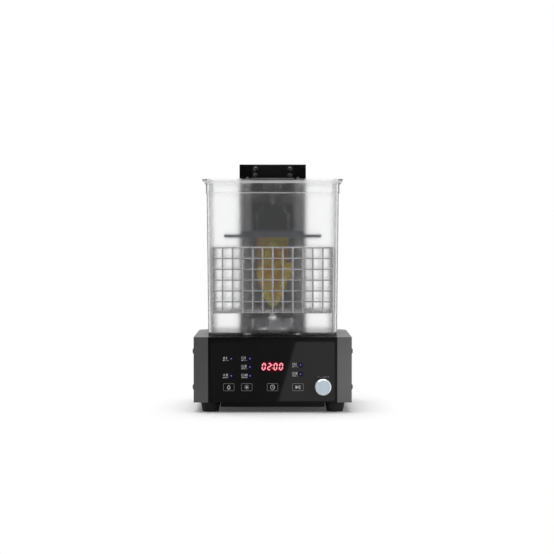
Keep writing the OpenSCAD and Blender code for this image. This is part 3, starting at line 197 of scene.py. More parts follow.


# One recipe for coats, mouldings and metals: grain, patches of tone, rubbed edges with painted edge
# highlights, and dust
def coatedFinish(name, look):
    material, tree, shader = startMaterial(name, {
        "Metallic": look.get("metallic", 0.0),
        "Specular IOR Level": look.get("specular", 0.5),
        "Coat Weight": look.get("coat", 0.0),
        "Coat Roughness": look.get("coatRoughness", 0.1),
        **look.get("sockets", {}),
    })
    grain = placeGroup(tree, grainGroup, {"Grain Scale": look["grain"],
                                          "Patch Scale": look.get("patch", 30.0)})
    colour = mixColours(tree, grain.outputs["Patch"], look["colour"], look["colourFar"])
    if "speck" in look:
        specks = rangeNode(tree, grain.outputs["Height"], 0.35, 0.7, 0.0, 1.0)
        colour = mixColours(tree, specks, colour, look["speck"])
    # edges lightened by the mask: partly rubbed wear, partly painted highlight
    if "wearAndHighlightColour" in look:
        wearAndHighlight = placeGroup(tree, edgeWearAndHighlightGroup, {"Width": look.get("wearAndHighlightWidth", 0.0006),
                                            "Amount": look.get("wearAndHighlight", 0.5)})
        colour = mixColours(tree, wearAndHighlight.outputs["Mask"], colour, look["wearAndHighlightColour"])
    if "dust" in look:
        dust = placeGroup(tree, dustGroup, {"Amount": look["dust"]})
        colour = mixColours(tree, dust.outputs["Mask"], colour, dustTone)
    join(tree, colour, shader.inputs["Base Color"])
    low, high = look["roughness"]
    join(tree, rangeNode(tree, grain.outputs["Patch"], 0.0, 1.0, low, high), shader.inputs["Roughness"])
    height = grain.outputs["Height"]
    if "brush" in look:
        along = dict(zip(("Along X", "Along Y", "Along Z"), look["brush"]))
        height = placeGroup(tree, brushGroup, along).outputs["Height"]
    addBump(tree, shader, height, look.get("bump", 0.3), look.get("depth", 0.0001))
    return material


# Finishes of the base

cheekCoat = coatedFinish("cheekPowderCoat", {
    "colour": (0.060, 0.060, 0.062), "colourFar": (0.070, 0.070, 0.072),
    "speck": (0.098, 0.098, 0.100),
    "roughness": (0.42, 0.52), "specular": 0.75, "grain": 1500.0, "patch": 22.0,
    "bump": 0.55, "depth": 0.00012, "wearAndHighlightColour": (0.20, 0.20, 0.20), "wearAndHighlight": 0.5, "dust": 0.10})
blackCoat = coatedFinish("blackPowderCoat", {
    "colour": (0.0016, 0.0016, 0.0018), "colourFar": (0.0025, 0.0025, 0.0027),
    "speck": (0.0048, 0.0048, 0.0050),
    "roughness": (0.38, 0.48), "specular": 0.09, "grain": 1700.0, "patch": 25.0,
    "bump": 0.4, "depth": 0.0001, "wearAndHighlightColour": (0.05, 0.05, 0.05), "wearAndHighlight": 0.35, "dust": 0.05})
blackMoulding = coatedFinish("blackMoulding", {
    "colour": (0.0020, 0.0020, 0.0022), "colourFar": (0.0032, 0.0032, 0.0034),
    "roughness": (0.42, 0.52), "specular": 0.14, "grain": 2600.0, "patch": 35.0,
    "bump": 0.25, "depth": 0.00006, "wearAndHighlightColour": (0.03, 0.03, 0.03), "wearAndHighlight": 0.4})
# screws: their pale edge colour is painted glint as well as rubbed wear
oxideScrew = coatedFinish("blackOxideScrew", {
    "colour": (0.018, 0.018, 0.019), "colourFar": (0.030, 0.030, 0.031), "metallic": 0.6,
    "roughness": (0.32, 0.42), "grain": 3000.0, "patch": 200.0, "bump": 0.15, "depth": 0.00005,
    "wearAndHighlightColour": (0.25, 0.25, 0.25), "wearAndHighlight": 0.8, "wearAndHighlightWidth": 0.00025})
carrierScrewFinish = coatedFinish("dullSteelScrew", {
    "colour": (0.07, 0.07, 0.072), "colourFar": (0.11, 0.11, 0.112), "metallic": 0.9,
    "roughness": (0.25, 0.36), "grain": 3000.0, "patch": 260.0, "bump": 0.12, "depth": 0.00005,
    "wearAndHighlightColour": (0.5, 0.5, 0.5), "wearAndHighlight": 0.9, "wearAndHighlightWidth": 0.00025})
zincPlate = coatedFinish("zincPlate", {
    "colour": (0.50, 0.50, 0.52), "colourFar": (0.60, 0.60, 0.61), "metallic": 1.0,
    "roughness": (0.28, 0.42), "grain": 1200.0, "patch": 120.0, "bump": 0.1, "depth": 0.00005})
footRubber = coatedFinish("footRubber", {
    "colour": (0.012, 0.012, 0.012), "colourFar": (0.020, 0.020, 0.020),
    "roughness": (0.7, 0.85), "specular": 0.3, "grain": 2200.0, "patch": 60.0,
    "bump": 0.3, "depth": 0.0001})
boardGreen = coatedFinish("solderMask", {
    "colour": (0.012, 0.075, 0.030), "colourFar": (0.016, 0.095, 0.040), "coat": 0.4,
    "roughness": (0.3, 0.4), "grain": 900.0, "patch": 80.0, "bump": 0.1, "depth": 0.00005})
groundSteel = coatedFinish("groundSteel", {
    "colour": (0.55, 0.55, 0.56), "colourFar": (0.66, 0.66, 0.67), "metallic": 1.0,
    "roughness": (0.18, 0.28), "grain": 1500.0, "patch": 90.0, "brush": (900.0, 900.0, 6000.0),
    "bump": 0.15, "depth": 0.00004})
motorCan = coatedFinish("motorCan", {
    "colour": (0.34, 0.34, 0.35), "colourFar": (0.42, 0.42, 0.43), "metallic": 1.0,
    "roughness": (0.3, 0.42), "grain": 1500.0, "patch": 70.0, "brush": (60.0, 60.0, 5000.0),
    "bump": 0.2, "depth": 0.00005})
turnedBrass = coatedFinish("turnedBrass", {
    "colour": (0.62, 0.44, 0.18), "colourFar": (0.70, 0.52, 0.24), "metallic": 1.0,
    "roughness": (0.22, 0.32), "grain": 2000.0, "patch": 150.0, "bump": 0.1, "depth": 0.00004})
nylonGrey = coatedFinish("greyNylon", {
    "colour": (0.20, 0.20, 0.20), "colourFar": (0.24, 0.24, 0.24),
    "roughness": (0.5, 0.6), "grain": 1600.0, "patch": 60.0, "bump": 0.2, "depth": 0.00008})
nickelPlate = coatedFinish("nickelPlate", {
    "colour": (0.60, 0.58, 0.55), "colourFar": (0.68, 0.66, 0.63), "metallic": 1.0,
    "roughness": (0.14, 0.24), "grain": 1500.0, "patch": 120.0, "bump": 0.06, "depth": 0.00004})
extrudedAluminium = coatedFinish("extrudedAluminium", {
    "colour": (0.62, 0.62, 0.63), "colourFar": (0.70, 0.70, 0.71), "metallic": 1.0,
    "roughness": (0.34, 0.46), "grain": 1500.0, "patch": 70.0, "brush": (2500.0, 2500.0, 30.0),
    "bump": 0.25, "depth": 0.00006})
lampBoard = coatedFinish("lampBoard", {
    "colour": (0.70, 0.70, 0.68), "colourFar": (0.76, 0.76, 0.74),
    "roughness": (0.35, 0.45), "grain": 1200.0, "patch": 90.0, "bump": 0.1, "depth": 0.00005})
print("stage 2: coats, mouldings and metals made")

# Finishes of the column, the carrier and what hangs from it

carrierCoat = coatedFinish("carrierCoat", {
    "colour": (0.0038, 0.0038, 0.0040), "colourFar": (0.0058, 0.0058, 0.0060),
    "speck": (0.011, 0.011, 0.0115),
    "roughness": (0.34, 0.44), "specular": 0.2, "grain": 1800.0, "patch": 30.0,
    "bump": 0.35, "depth": 0.0001, "wearAndHighlightColour": (0.08, 0.08, 0.08), "wearAndHighlight": 0.4, "dust": 0.05})
clampMoulding = coatedFinish("clampMoulding", {
    "colour": (0.010, 0.010, 0.010), "colourFar": (0.016, 0.016, 0.016),
    "roughness": (0.45, 0.58), "grain": 2400.0, "patch": 80.0, "bump": 0.3, "depth": 0.00008,
    "wearAndHighlightColour": (0.05, 0.05, 0.05), "wearAndHighlight": 0.5})
anodised = coatedFinish("darkAnodised", {
    "colour": (0.0045, 0.0048, 0.0056), "colourFar": (0.0070, 0.0074, 0.0084), "metallic": 0.3,
    "specular": 0.2, "roughness": (0.36, 0.48), "grain": 2200.0, "patch": 40.0, "bump": 0.2,
    "depth": 0.00006, "wearAndHighlightColour": (0.08, 0.08, 0.085), "wearAndHighlight": 0.35, "wearAndHighlightWidth": 0.0003})
plateMetal = coatedFinish("blastedPlate", {
    "colour": (0.045, 0.048, 0.060), "colourFar": (0.066, 0.070, 0.084), "metallic": 0.7,
    "specular": 0.25, "roughness": (0.40, 0.52), "grain": 2600.0, "patch": 35.0, "bump": 0.4,
    "depth": 0.00008, "wearAndHighlightColour": (0.25, 0.25, 0.26), "wearAndHighlight": 0.4, "wearAndHighlightWidth": 0.0003})
polishedSteel = coatedFinish("polishedSteel", {
    "colour": (0.66, 0.66, 0.67), "colourFar": (0.74, 0.74, 0.75), "metallic": 1.0,
    "roughness": (0.10, 0.18), "grain": 1500.0, "patch": 110.0, "bump": 0.05, "depth": 0.00004})
darkSteel = coatedFinish("darkSteelScrew", {
    "colour": (0.045, 0.045, 0.047), "colourFar": (0.075, 0.075, 0.078), "metallic": 0.9,
    "roughness": (0.26, 0.38), "grain": 1800.0, "patch": 150.0, "bump": 0.1, "depth": 0.00004})
basketWire = coatedFinish("basketWire", {
    "colour": (0.27, 0.27, 0.275), "colourFar": (0.36, 0.36, 0.365), "metallic": 1.0,
    "roughness": (0.20, 0.32), "grain": 1800.0, "patch": 60.0, "bump": 0.12, "depth": 0.00005})


# Clear and glossy finishes

panelGlass = coatedFinish("blackPanelGlass", {  # faint smears on black glass
    "colour": (0.0080, 0.0080, 0.0084), "colourFar": (0.0092, 0.0092, 0.0096),
    "roughness": (0.04, 0.09), "specular": 0.20, "grain": 260.0, "patch": 14.0,
    "bump": 0.02, "depth": 0.00004})
smokedStirrer = coatedFinish("smokedStirrer", {
    "colour": (0.60, 0.605, 0.62), "colourFar": (0.68, 0.685, 0.70),
    "sockets": {"IOR": 1.28, "Transmission Weight": 0.88},
    "roughness": (0.08, 0.15), "specular": 0.6, "grain": 1200.0, "patch": 70.0,
    "bump": 0.12, "depth": 0.00006})
lensPlastic = coatedFinish("milkyLens", {
    "colour": (0.24, 0.245, 0.265), "colourFar": (0.29, 0.295, 0.315),
    "sockets": {"IOR": 1.45, "Transmission Weight": 0.2, "Subsurface Weight": 0.2,
                "Subsurface Radius": (0.002, 0.002, 0.002)},
    "roughness": (0.22, 0.34), "grain": 1400.0, "patch": 90.0, "bump": 0.1, "depth": 0.00005})
displayLens = coatedFinish("displayLens", {
    "colour": (0.035, 0.004, 0.005), "colourFar": (0.045, 0.005, 0.006), "coat": 0.5,
    "roughness": (0.15, 0.25), "grain": 1500.0, "bump": 0.05})


def makeFrostedWall():  # frosted moulding: blurs what is far behind it, keeps what is near
    look = {"clear": (0.998, 0.999, 1.0), "edge": (0.28, 0.29, 0.30), "edgeFrom": 0.38, "edgeTo": 0.92,
            "roughness": (0.19, 0.23), "grain": 900.0, "patch": 9.0}
    material, tree, shader = startMaterial("frostedWall", {
        "IOR": 1.32, "Transmission Weight": 0.985, "Specular IOR Level": 0.5})
    grain = placeGroup(tree, grainGroup, {"Grain Scale": look["grain"], "Patch Scale": look["patch"]})
    weight = addNode(tree, "ShaderNodeLayerWeight", {"Blend": 0.5})
    turned = rangeNode(tree, weight.outputs["Facing"], look["edgeFrom"], look["edgeTo"], 0.0, 1.0)
    join(tree, mixColours(tree, turned, look["clear"], look["edge"]), shader.inputs["Base Color"])
    low, high = look["roughness"]
    join(tree, rangeNode(tree, grain.outputs["Patch"], 0.0, 1.0, low, high), shader.inputs["Roughness"])
    return material


def makeCuredResin():  # mottled resin, brighter at its tip, with the flat lines of its layers
    look = {"pale": (0.37, 0.30, 0.030), "deep": (0.35, 0.16, 0.014), "tip": (0.50, 0.43, 0.035),
            "deepFrom": 0.35, "deepTo": 0.65, "roughness": (0.28, 0.42), "grain": 700.0, "patch": 55.0,
            "tipShare": 0.30,  # the tip's tone has faded out this far up the print
            "ridge": 0.00022, "bump": 0.35, "depth": 0.00008}
    material, tree, shader = startMaterial("curedResin", {
        "IOR": 1.5, "Subsurface Weight": 0.25, "Subsurface Radius": (0.006, 0.003, 0.001),
        "Subsurface Scale": 1.0, "Coat Weight": 0.06, "Coat Roughness": 0.2, "Specular IOR Level": 0.3})
    grain = placeGroup(tree, grainGroup, {"Grain Scale": look["grain"], "Patch Scale": look["patch"]})
    place = addNode(tree, "ShaderNodeTexCoord")
    parts = addNode(tree, "ShaderNodeSeparateXYZ")
    join(tree, place.outputs["Object"], parts.inputs[0])
    low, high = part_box("resin_print")
    tipTop = low.z + look["tipShare"] * (high.z - low.z)
    tip = rangeNode(tree, parts.outputs["Z"], low.z, tipTop, 1.0, 0.0)
    deep = rangeNode(tree, grain.outputs["Patch"], look["deepFrom"], look["deepTo"], 0.0, 1.0)
    tone = mixColours(tree, tip, mixColours(tree, deep, look["pale"], look["deep"]), look["tip"])
    join(tree, tone, shader.inputs["Base Color"])
    smooth, rough = look["roughness"]
    join(tree, rangeNode(tree, grain.outputs["Patch"], 0.0, 1.0, smooth, rough), shader.inputs["Roughness"])
    turns = mathNode(tree, "MULTIPLY", parts.outputs["Z"], 2 * math.pi / look["ridge"])
    ridges = rangeNode(tree, mathNode(tree, "SINE", turns), -1.0, 1.0, 0.0, 1.0)
    height = mathNode(tree, "ADD", ridges, grain.outputs["Height"])
    addBump(tree, shader, height, look["bump"], look["depth"])
    return material


def makeKnobFinish():  # polished silver rim whose pale colour is partly a painted highlight ring, pale blue face; told apart by the distance from the axis
    look = {"face": (0.56, 0.67, 0.78), "faceFar": (0.60, 0.70, 0.80), "rim": (0.80, 0.82, 0.84),
            "faceRadius": 0.0098, "rimBlend": 0.0002, "rimMetal": 0.55,
            "faceRoughness": 0.34, "rimRoughness": 0.16,
            "grain": 2200.0, "patch": 120.0, "bump": 0.1, "depth": 0.00004}
    low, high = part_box("control_knob")
    centreX, centreZ = (low.x + high.x) / 2, (low.z + high.z) / 2
    material, tree, shader = startMaterial("knobMoulding", {"Coat Weight": 0.5, "Coat Roughness": 0.08})
    place = addNode(tree, "ShaderNodeTexCoord")
    parts = addNode(tree, "ShaderNodeSeparateXYZ")
    join(tree, place.outputs["Object"], parts.inputs[0])
    offsetX = mathNode(tree, "SUBTRACT", parts.outputs["X"], centreX)
    offsetZ = mathNode(tree, "SUBTRACT", parts.outputs["Z"], centreZ)
    squares = mathNode(tree, "ADD", mathNode(tree, "POWER", offsetX, 2.0),
                       mathNode(tree, "POWER", offsetZ, 2.0))
    radius = mathNode(tree, "SQRT", squares)
    faceEnd = look["faceRadius"]
    rim = rangeNode(tree, radius, faceEnd, faceEnd + look["rimBlend"], 0.0, 1.0)
    grain = placeGroup(tree, grainGroup, {"Grain Scale": look["grain"], "Patch Scale": look["patch"]})
    face = mixColours(tree, grain.outputs["Patch"], look["face"], look["faceFar"])
    # the rim's pale colour: its own silver, and a painted highlight ring
    join(tree, mixColours(tree, rim, face, look["rim"]), shader.inputs["Base Color"])
    join(tree, mathNode(tree, "MULTIPLY", rim, look["rimMetal"]), shader.inputs["Metallic"])
    gloss = rangeNode(tree, rim, 0.0, 1.0, look["faceRoughness"], look["rimRoughness"])
    join(tree, gloss, shader.inputs["Roughness"])
    addBump(tree, shader, grain.outputs["Height"], look["bump"], look["depth"])
    return material


frostedWall = makeFrostedWall()
curedResin = makeCuredResin()
knobFinish = makeKnobFinish()

finishOf = {
    cheekCoat: ["side_cheek_left", "side_cheek_right"],
    blackCoat: ["chassis", "deck", "base_pan", "column_housing", "column_rear_cover", "column_cap"],
    blackMoulding: ["panel_frame", "fan_frame", "fan_rotor", "encoder_body", "dc_jack", "motor_bracket"],
    oxideScrew: ["cheek_screws", "deck_screws", "column_screws"],
    carrierScrewFinish: ["carrier_screws"],
    zincPlate: ["pan_screws", "foot_screws", "motor_screws", "jack_nut"],
    footRubber: ["feet"],
    panelGlass: ["front_glass"],
    boardGreen: ["control_board", "power_board"],
    lampBoard: ["lamp_strip_left", "lamp_strip_right"],
    displayLens: ["display_module"],
    groundSteel: ["touch_springs", "motor_shaft", "pivot_pin"],
    motorCan: ["motor"],
    turnedBrass: ["push_sleeve", "encoder_shaft"],
    knobFinish: ["control_knob"],
    nylonGrey: ["drive_rotor"],
    nickelPlate: ["drive_magnets", "stirrer_magnets"],
    lensPlastic: ["lamp_lens_left", "lamp_lens_right"],
    extrudedAluminium: ["lamp_heatsinks"],
    frostedWall: ["wash_tank"],
    smokedStirrer: ["stirrer"],
    polishedSteel: ["stirrer_bush"],
    darkSteel: ["hanger_screw", "lock_nut", "levelling_screws"],
    basketWire: ["basket_posts", "basket_front", "basket_back",
                 "basket_left", "basket_right", "basket_floor"],
    carrierCoat: ["carrier_tongue", "carrier_bracket"],
    clampMoulding: ["clamp_knob"],
    anodised: ["platform_head"],
    plateMetal: ["build_plate"],
    curedResin: ["resin_print"],
}
for finish, names in finishOf.items():
    for name in names:
        mesh = nodes[name].data
        mesh.materials.clear()
        mesh.materials.append(finish)
print("stage 3: finishes placed on", sum(len(names) for names in finishOf.values()), "nodes")


# Flat prints on the front glass: thin closed solids in the plane of the panel

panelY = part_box("front_glass")[0].y


def prism(bm, outline, lift, thick):
    near = [bm.verts.new((x, panelY - lift - thick, z)) for x, z in outline]
    far = [bm.verts.new((x, panelY - lift, z)) for x, z in outline]
    count = len(outline)
    bm.faces.new(near)
    bm.faces.new(list(reversed(far)))
    for i in range(count):
        j = (i + 1) % count
        bm.faces.new((near[j], near[i], far[i], far[j]))


def ringPrism(bm, outer, inner, lift, thick):
    rows = []
    for outline in (outer, inner):
        for depth in (lift + thick, lift):
            rows.append([bm.verts.new((x, panelY - depth, z)) for x, z in outline])
    nearOut, farOut, nearIn, farIn = rows
    count = len(outer)
    for i in range(count):
        j = (i + 1) % count
        bm.faces.new((nearOut[i], nearOut[j], nearIn[j], nearIn[i]))
        bm.faces.new((farOut[j], farOut[i], farIn[i], farIn[j]))
        bm.faces.new((nearOut[j], nearOut[i], farOut[i], farOut[j]))
        bm.faces.new((nearIn[i], nearIn[j], farIn[j], farIn[i]))


def arcPoints(cx, cz, radius, start, end, steps):
    angles = [math.radians(start + (end - start) * i / steps) for i in range(steps + 1)]
    return [(cx + radius * math.cos(a), cz + radius * math.sin(a)) for a in angles]


def discPoints(cx, cz, radius, steps=24):
    return arcPoints(cx, cz, radius, 0, 360 - 360 / steps, steps - 1)


def roundedRect(cx, cz, width, height, radius, steps=6):
    points = []
    for sx, sz, start in ((1, 1, 0), (-1, 1, 90), (-1, -1, 180), (1, -1, 270)):
        points += arcPoints(cx + sx * (width / 2 - radius), cz + sz * (height / 2 - radius),
                            radius, start, start + 90, steps)
    return points


def strokePoints(path, width):  # outline of a stroke with square joints
    left, right = [], []
    for i, (x, z) in enumerate(path):
        before = Vector(path[max(i - 1, 0)])
        after = Vector(path[min(i + 1, len(path) - 1)])
        along = (after - before).normalized()
        left.append((x - along.y * width / 2, z + along.x * width / 2))
        right.append((x + along.y * width / 2, z - along.x * width / 2))
    return left + right[::-1]


def finishShape(bm, name, material, body):
    bmesh.ops.triangulate(bm, faces=[f for f in bm.faces if len(f.verts) > 4])
    bmesh.ops.recalc_face_normals(bm, faces=bm.faces)
    mesh = bpy.data.meshes.new(name)
    bm.to_mesh(mesh)
    bm.free()
    piece = bpy.data.objects.new(name, mesh)
    bpy.context.scene.collection.objects.link(piece)
    mesh.materials.append(material)
    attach(piece, body)


# Icons: each draws into a mesh, about one unit from its centre to its edge

def drawDrop(draw, cx, cz, size):
    path = [(cx, cz + size)] + arcPoints(cx, cz - size * 0.25, size * 0.72, 35, -215, 20)
    inner = [(cx + (x - cx) * 0.62, cz - size * 0.12 + (z - cz + size * 0.12) * 0.62) for x, z in path]
    draw.ring(path, inner)


def drawSun(draw, cx, cz, size):
    draw.solid(discPoints(cx, cz, size * 0.42, 18))
    for k in range(8):
        angle = math.radians(45 * k)
        ray = [(cx + size * r * math.cos(angle), cz + size * r * math.sin(angle)) for r in (0.62, 1.0)]
        draw.solid(strokePoints(ray, size * 0.17))


def drawClock(draw, cx, cz, size):
    draw.ring(discPoints(cx, cz, size, 28), discPoints(cx, cz, size * 0.80, 28))
    draw.solid(strokePoints([(cx, cz - size * 0.08), (cx, cz + size * 0.62)], size * 0.16))
    draw.solid(strokePoints([(cx, cz), (cx + size * 0.45, cz - size * 0.16)], size * 0.16))


def drawWaves(draw, cx, cz, size):
    for k in (-1, 0, 1):
        path = [(cx + size * (0.62 * k + 0.17 * math.sin(math.pi * i / 6)), cz + size * (i / 6 - 1))
                for i in range(13)]
        draw.solid(strokePoints(path, size * 0.18))


def drawPlayPause(draw, cx, cz, size):
    draw.solid([(cx - size, cz - size * 0.8), (cx + size * 0.15, cz), (cx - size, cz + size * 0.8)])
    for k in (0.42, 0.85):
        draw.solid(roundedRect(cx + size * k, cz, size * 0.22, size * 1.6, size * 0.05))


def drawTurn(draw, cx, cz, size):  # round arrow: the stirrer
    outer = arcPoints(cx, cz, size, 60, 350, 22)
    inner = arcPoints(cx, cz, size * 0.76, 60, 350, 22)
    draw.solid(outer + inner[::-1])
    corners = ((0.50, 0.06), (1.24, 0.06), (0.84, 0.52))
    draw.solid([(cx + size * right, cz + size * up) for right, up in corners])


class PanelDraw:
    def __init__(self, lift, thick):
        self.bm = bmesh.new()
        self.lift = lift
        self.thick = thick

    def solid(self, outline):
        prism(self.bm, outline, self.lift, self.thick)

    def ring(self, outer, inner):
        ringPrism(self.bm, outer, inner, self.lift, self.thick)


def glowMaterial(name, colour, strength):
    unlit = [0.2 * part for part in colour]
    return startMaterial(name, {"Base Color": (*unlit, 1), "Emission Color": (*colour, 1),
                                "Emission Strength": strength, "Roughness": 0.4})[0]


def haloMaterial(name, colour, centre, radii, power):  # glow that fades out from its centre
    material, tree, shader = startMaterial(name, {"Base Color": (0, 0, 0, 1), "Roughness": 0.6,
                                                  "Specular IOR Level": 0.0})
    place = addNode(tree, "ShaderNodeTexCoord")
    parts = addNode(tree, "ShaderNodeSeparateXYZ")
    join(tree, place.outputs["Object"], parts.inputs[0])
    offsets = []
    for axis, middle, radius in (("X", centre[0], radii[0]), ("Z", centre[1], radii[1])):
        away = mathNode(tree, "SUBTRACT", parts.outputs[axis], middle)
        share = mathNode(tree, "DIVIDE", mathNode(tree, "ABSOLUTE", away), radius)
        offsets.append(mathNode(tree, "POWER", share, power))
    distance = mathNode(tree, "ADD", offsets[0], offsets[1])
    fade = rangeNode(tree, distance, 0.0, 1.0, 1.0, 0.0)
    soft = mathNode(tree, "POWER", fade, 1.6)
    shader.inputs["Emission Color"].default_value = (*colour, 1)
    shader.inputs["Emission Strength"].default_value = 1.0
    join(tree, soft, shader.inputs["Alpha"])
    return material


panelInk = coatedFinish("panelInk", {
    "colour": (0.55, 0.55, 0.57), "colourFar": (0.64, 0.64, 0.66), "roughness": (0.5, 0.6),
    "grain": 3000.0, "bump": 0.1})
dimInk = coatedFinish("dimPanelInk", {
    "colour": (0.17, 0.17, 0.18), "colourFar": (0.21, 0.21, 0.22), "roughness": (0.5, 0.6),
    "grain": 3000.0, "bump": 0.1})

panelLook = {  # places are X and Z on the glass, in metres
    "thick": 0.00005, "lift": 0.00002,
    "keyX": (-0.0625, -0.0369, -0.0002, 0.0359), "keyZ": 0.0363,
    "keySize": (0.0158, 0.0108), "keyCorner": 0.0016, "keyLine": 0.0006, "keyIcon": 0.0034,
    # each label: its place, its picture and how many of its three steps are lit
    "labels": ((-0.0668, 0.0769, "drop", 1), (-0.0668, 0.0525, "sun", 2),
               (-0.0404, 0.0769, "turn", 1), (-0.0404, 0.0651, "turn", 2), (-0.0404, 0.0525, "turn", 3),
               (0.0320, 0.0680, "wave", 1), (0.0320, 0.0549, "clock", 2)),
    "lamps": ((-0.0589, 0.0769), (-0.0589, 0.0525), (-0.0324, 0.0769), (-0.0324, 0.0651),
              (-0.0324, 0.0525), (0.0396, 0.0680), (0.0396, 0.0549)),
    "labelIcon": 0.0021, "iconShift": (-0.0022, 0.0010), "markCorner": 0.0002,
    "post": (0.0008, 0.0038), "postShift": (0.0012, 0.0010), "postPitch": 0.0014,
    "step": (0.0024, 0.0009), "stepShift": (-0.0030, -0.0026), "stepPitch": 0.0030,
    "lampRadius": 0.0009, "lampLift": 0.00006, "lampGlow": (0.16, 0.16, 0.34),
    "haloRadius": 0.0042, "haloLift": 0.00001, "haloGlow": (0.010, 0.008, 0.036), "haloPower": 2.0,
    "knobLabel": (0.0721, 0.0511, 0.0165), "signLength": 0.0024, "signLine": 0.0006,
    "risers": 7, "riserPitch": 0.0014, "riserHeights": (0.0006, 0.0024), "riserCorner": 0.0001,
}
icons = {"drop": drawDrop, "sun": drawSun, "turn": drawTurn, "wave": drawWaves, "clock": drawClock}


def makePanelPrints():
    look = panelLook
    ink = PanelDraw(look["lift"], look["thick"])
    dim = PanelDraw(look["lift"], look["thick"])
    (width, height), corner, line = look["keySize"], look["keyCorner"], look["keyLine"]
    for x in look["keyX"]:
        outer = roundedRect(x, look["keyZ"], width, height, corner)
        inner = roundedRect(x, look["keyZ"], width - 2 * line, height - 2 * line, corner - line)
        dim.ring(outer, inner)
    for x, draw in zip(look["keyX"], (drawDrop, drawSun, drawClock, drawPlayPause)):
        draw(ink, x, look["keyZ"], look["keyIcon"])
    markCorner, (iconX, iconZ) = look["markCorner"], look["iconShift"]
    (postX, postZ), (stepX, stepZ) = look["postShift"], look["stepShift"]
    for x, z, icon, level in look["labels"]:
        icons[icon](ink, x + iconX, z + iconZ, look["labelIcon"])
        for k in range(3):
            lit = k < level
            markX = x + stepX + k * look["stepPitch"]
            (ink if lit else dim).solid(roundedRect(markX, z + stepZ, *look["step"], markCorner))
            if lit:
                markX = x + postX + k * look["postPitch"]
                ink.solid(roundedRect(markX, z + postZ, *look["post"], markCorner))
    x, z, wide = look["knobLabel"]
    length, line = look["signLength"], look["signLine"]
    minusX, plusX = x - wide / 2 + length / 2, x + wide / 2 - length / 2
    for signX, width, height in ((minusX, length, line), (plusX, length, line), (plusX, line, length)):
        dim.solid(roundedRect(signX, z, width, height, markCorner))
    count, (least, most) = look["risers"], look["riserHeights"]
    for k in range(count):  # rising bars between minus and plus
        tall = least + (most - least) * k / (count - 1)
        barX = x + (k - (count - 1) / 2) * look["riserPitch"]
        dim.solid(roundedRect(barX, z + (tall - most) / 2, line, tall, look["riserCorner"]))
    finishShape(ink.bm, "panel_prints", panelInk, "base")
    finishShape(dim.bm, "panel_key_outlines", dimInk, "base")


def makeStatusLamps():
    look = panelLook
    dots = PanelDraw(look["lampLift"], look["thick"])
    for x, z in look["lamps"]:
        dots.solid(discPoints(x, z, look["lampRadius"], 20))
    finishShape(dots.bm, "status_lamps", glowMaterial("statusLamp", look["lampGlow"], 1.0), "base")
    radius, lift = look["haloRadius"], look["haloLift"]
    for number, (x, z) in enumerate(look["lamps"], 1):
        halo = PanelDraw(lift, lift)
        halo.solid(discPoints(x, z, radius, 32))
        material = haloMaterial("lampHalo%d" % number, look["haloGlow"], (x, z), (radius, radius),
                                look["haloPower"])
        finishShape(halo.bm, "lamp_halo_%d" % number, material, "base")


# Seven-segment time display, leaning a little to the right
displayLook = {"centre": (-0.0004, 0.0656), "height": 0.0106, "width": 0.0058, "pitch": 0.0079,
               "bar": 0.0018, "gap": 0.00020, "lean": 0.11, "digits": "0200", "pairShift": 0.0004,
               "dotRadius": 0.0006, "dotRise": 0.0022, "lift": 0.00006, "thick": 0.00006,
               "glow": (1.0, 0.29, 0.36), "strength": 1.28,
               "haloHalf": (0.0190, 0.0082), "haloCorner": 0.004, "haloLift": 0.00003,
               "haloThick": 0.00001, "haloGlow": (0.085, 0.003, 0.008), "haloPower": 3.0}
segmentsOf = {"0": "abcdef", "2": "abged"}


def segmentOutline(kind, width, height, bar, gap):  # in the digit's own box, centre at zero
    halfW, halfH, b = width / 2 - bar / 2, height / 2 - bar / 2, bar / 2
    if kind in "agd":
        z = {"a": halfH, "g": 0.0, "d": -halfH}[kind]
        reach = halfW - gap
        return [(-reach, z), (-reach + b, z + b), (reach - b, z + b),
                (reach, z), (reach - b, z - b), (-reach + b, z - b)]
    x = halfW if kind in "bc" else -halfW
    low, high = (gap, halfH - gap) if kind in "bf" else (-halfH + gap, -gap)
    return [(x, low), (x + b, low + b), (x + b, high - b), (x, high), (x - b, high - b), (x - b, low + b)]


def makeDisplay():
    look = displayLook
    cx, cz = look["centre"]
    lit = PanelDraw(look["lift"], look["thick"])
    count = len(look["digits"])
    for place, digit in enumerate(look["digits"]):
        shift = look["pairShift"] if place >= count / 2 else -look["pairShift"]
        middle = cx + (place - (count - 1) / 2) * look["pitch"] + shift
        for kind in segmentsOf[digit]:
            shape = segmentOutline(kind, look["width"], look["height"], look["bar"], look["gap"])
            lit.solid([(middle + x + z * look["lean"], cz + z) for x, z in shape])
    for z in (-look["dotRise"], look["dotRise"]):
        lit.solid(discPoints(cx + z * look["lean"], cz + z, look["dotRadius"], 14))
    red = glowMaterial("displayRed", look["glow"], look["strength"])
    finishShape(lit.bm, "display_digits", red, "base")
    halo = PanelDraw(look["haloLift"], look["haloThick"])
    wide, tall = look["haloHalf"]
    halo.solid(roundedRect(cx, cz, 2 * wide, 2 * tall, look["haloCorner"]))
    material = haloMaterial("displayHalo", look["haloGlow"], (cx, cz), (wide, tall), look["haloPower"])
    finishShape(halo.bm, "display_halo", material, "base")


makePanelPrints()
makeStatusLamps()
makeDisplay()
print("stage 4: panel prints, lamps and display made")


# Small beads where the basket's wires are welded

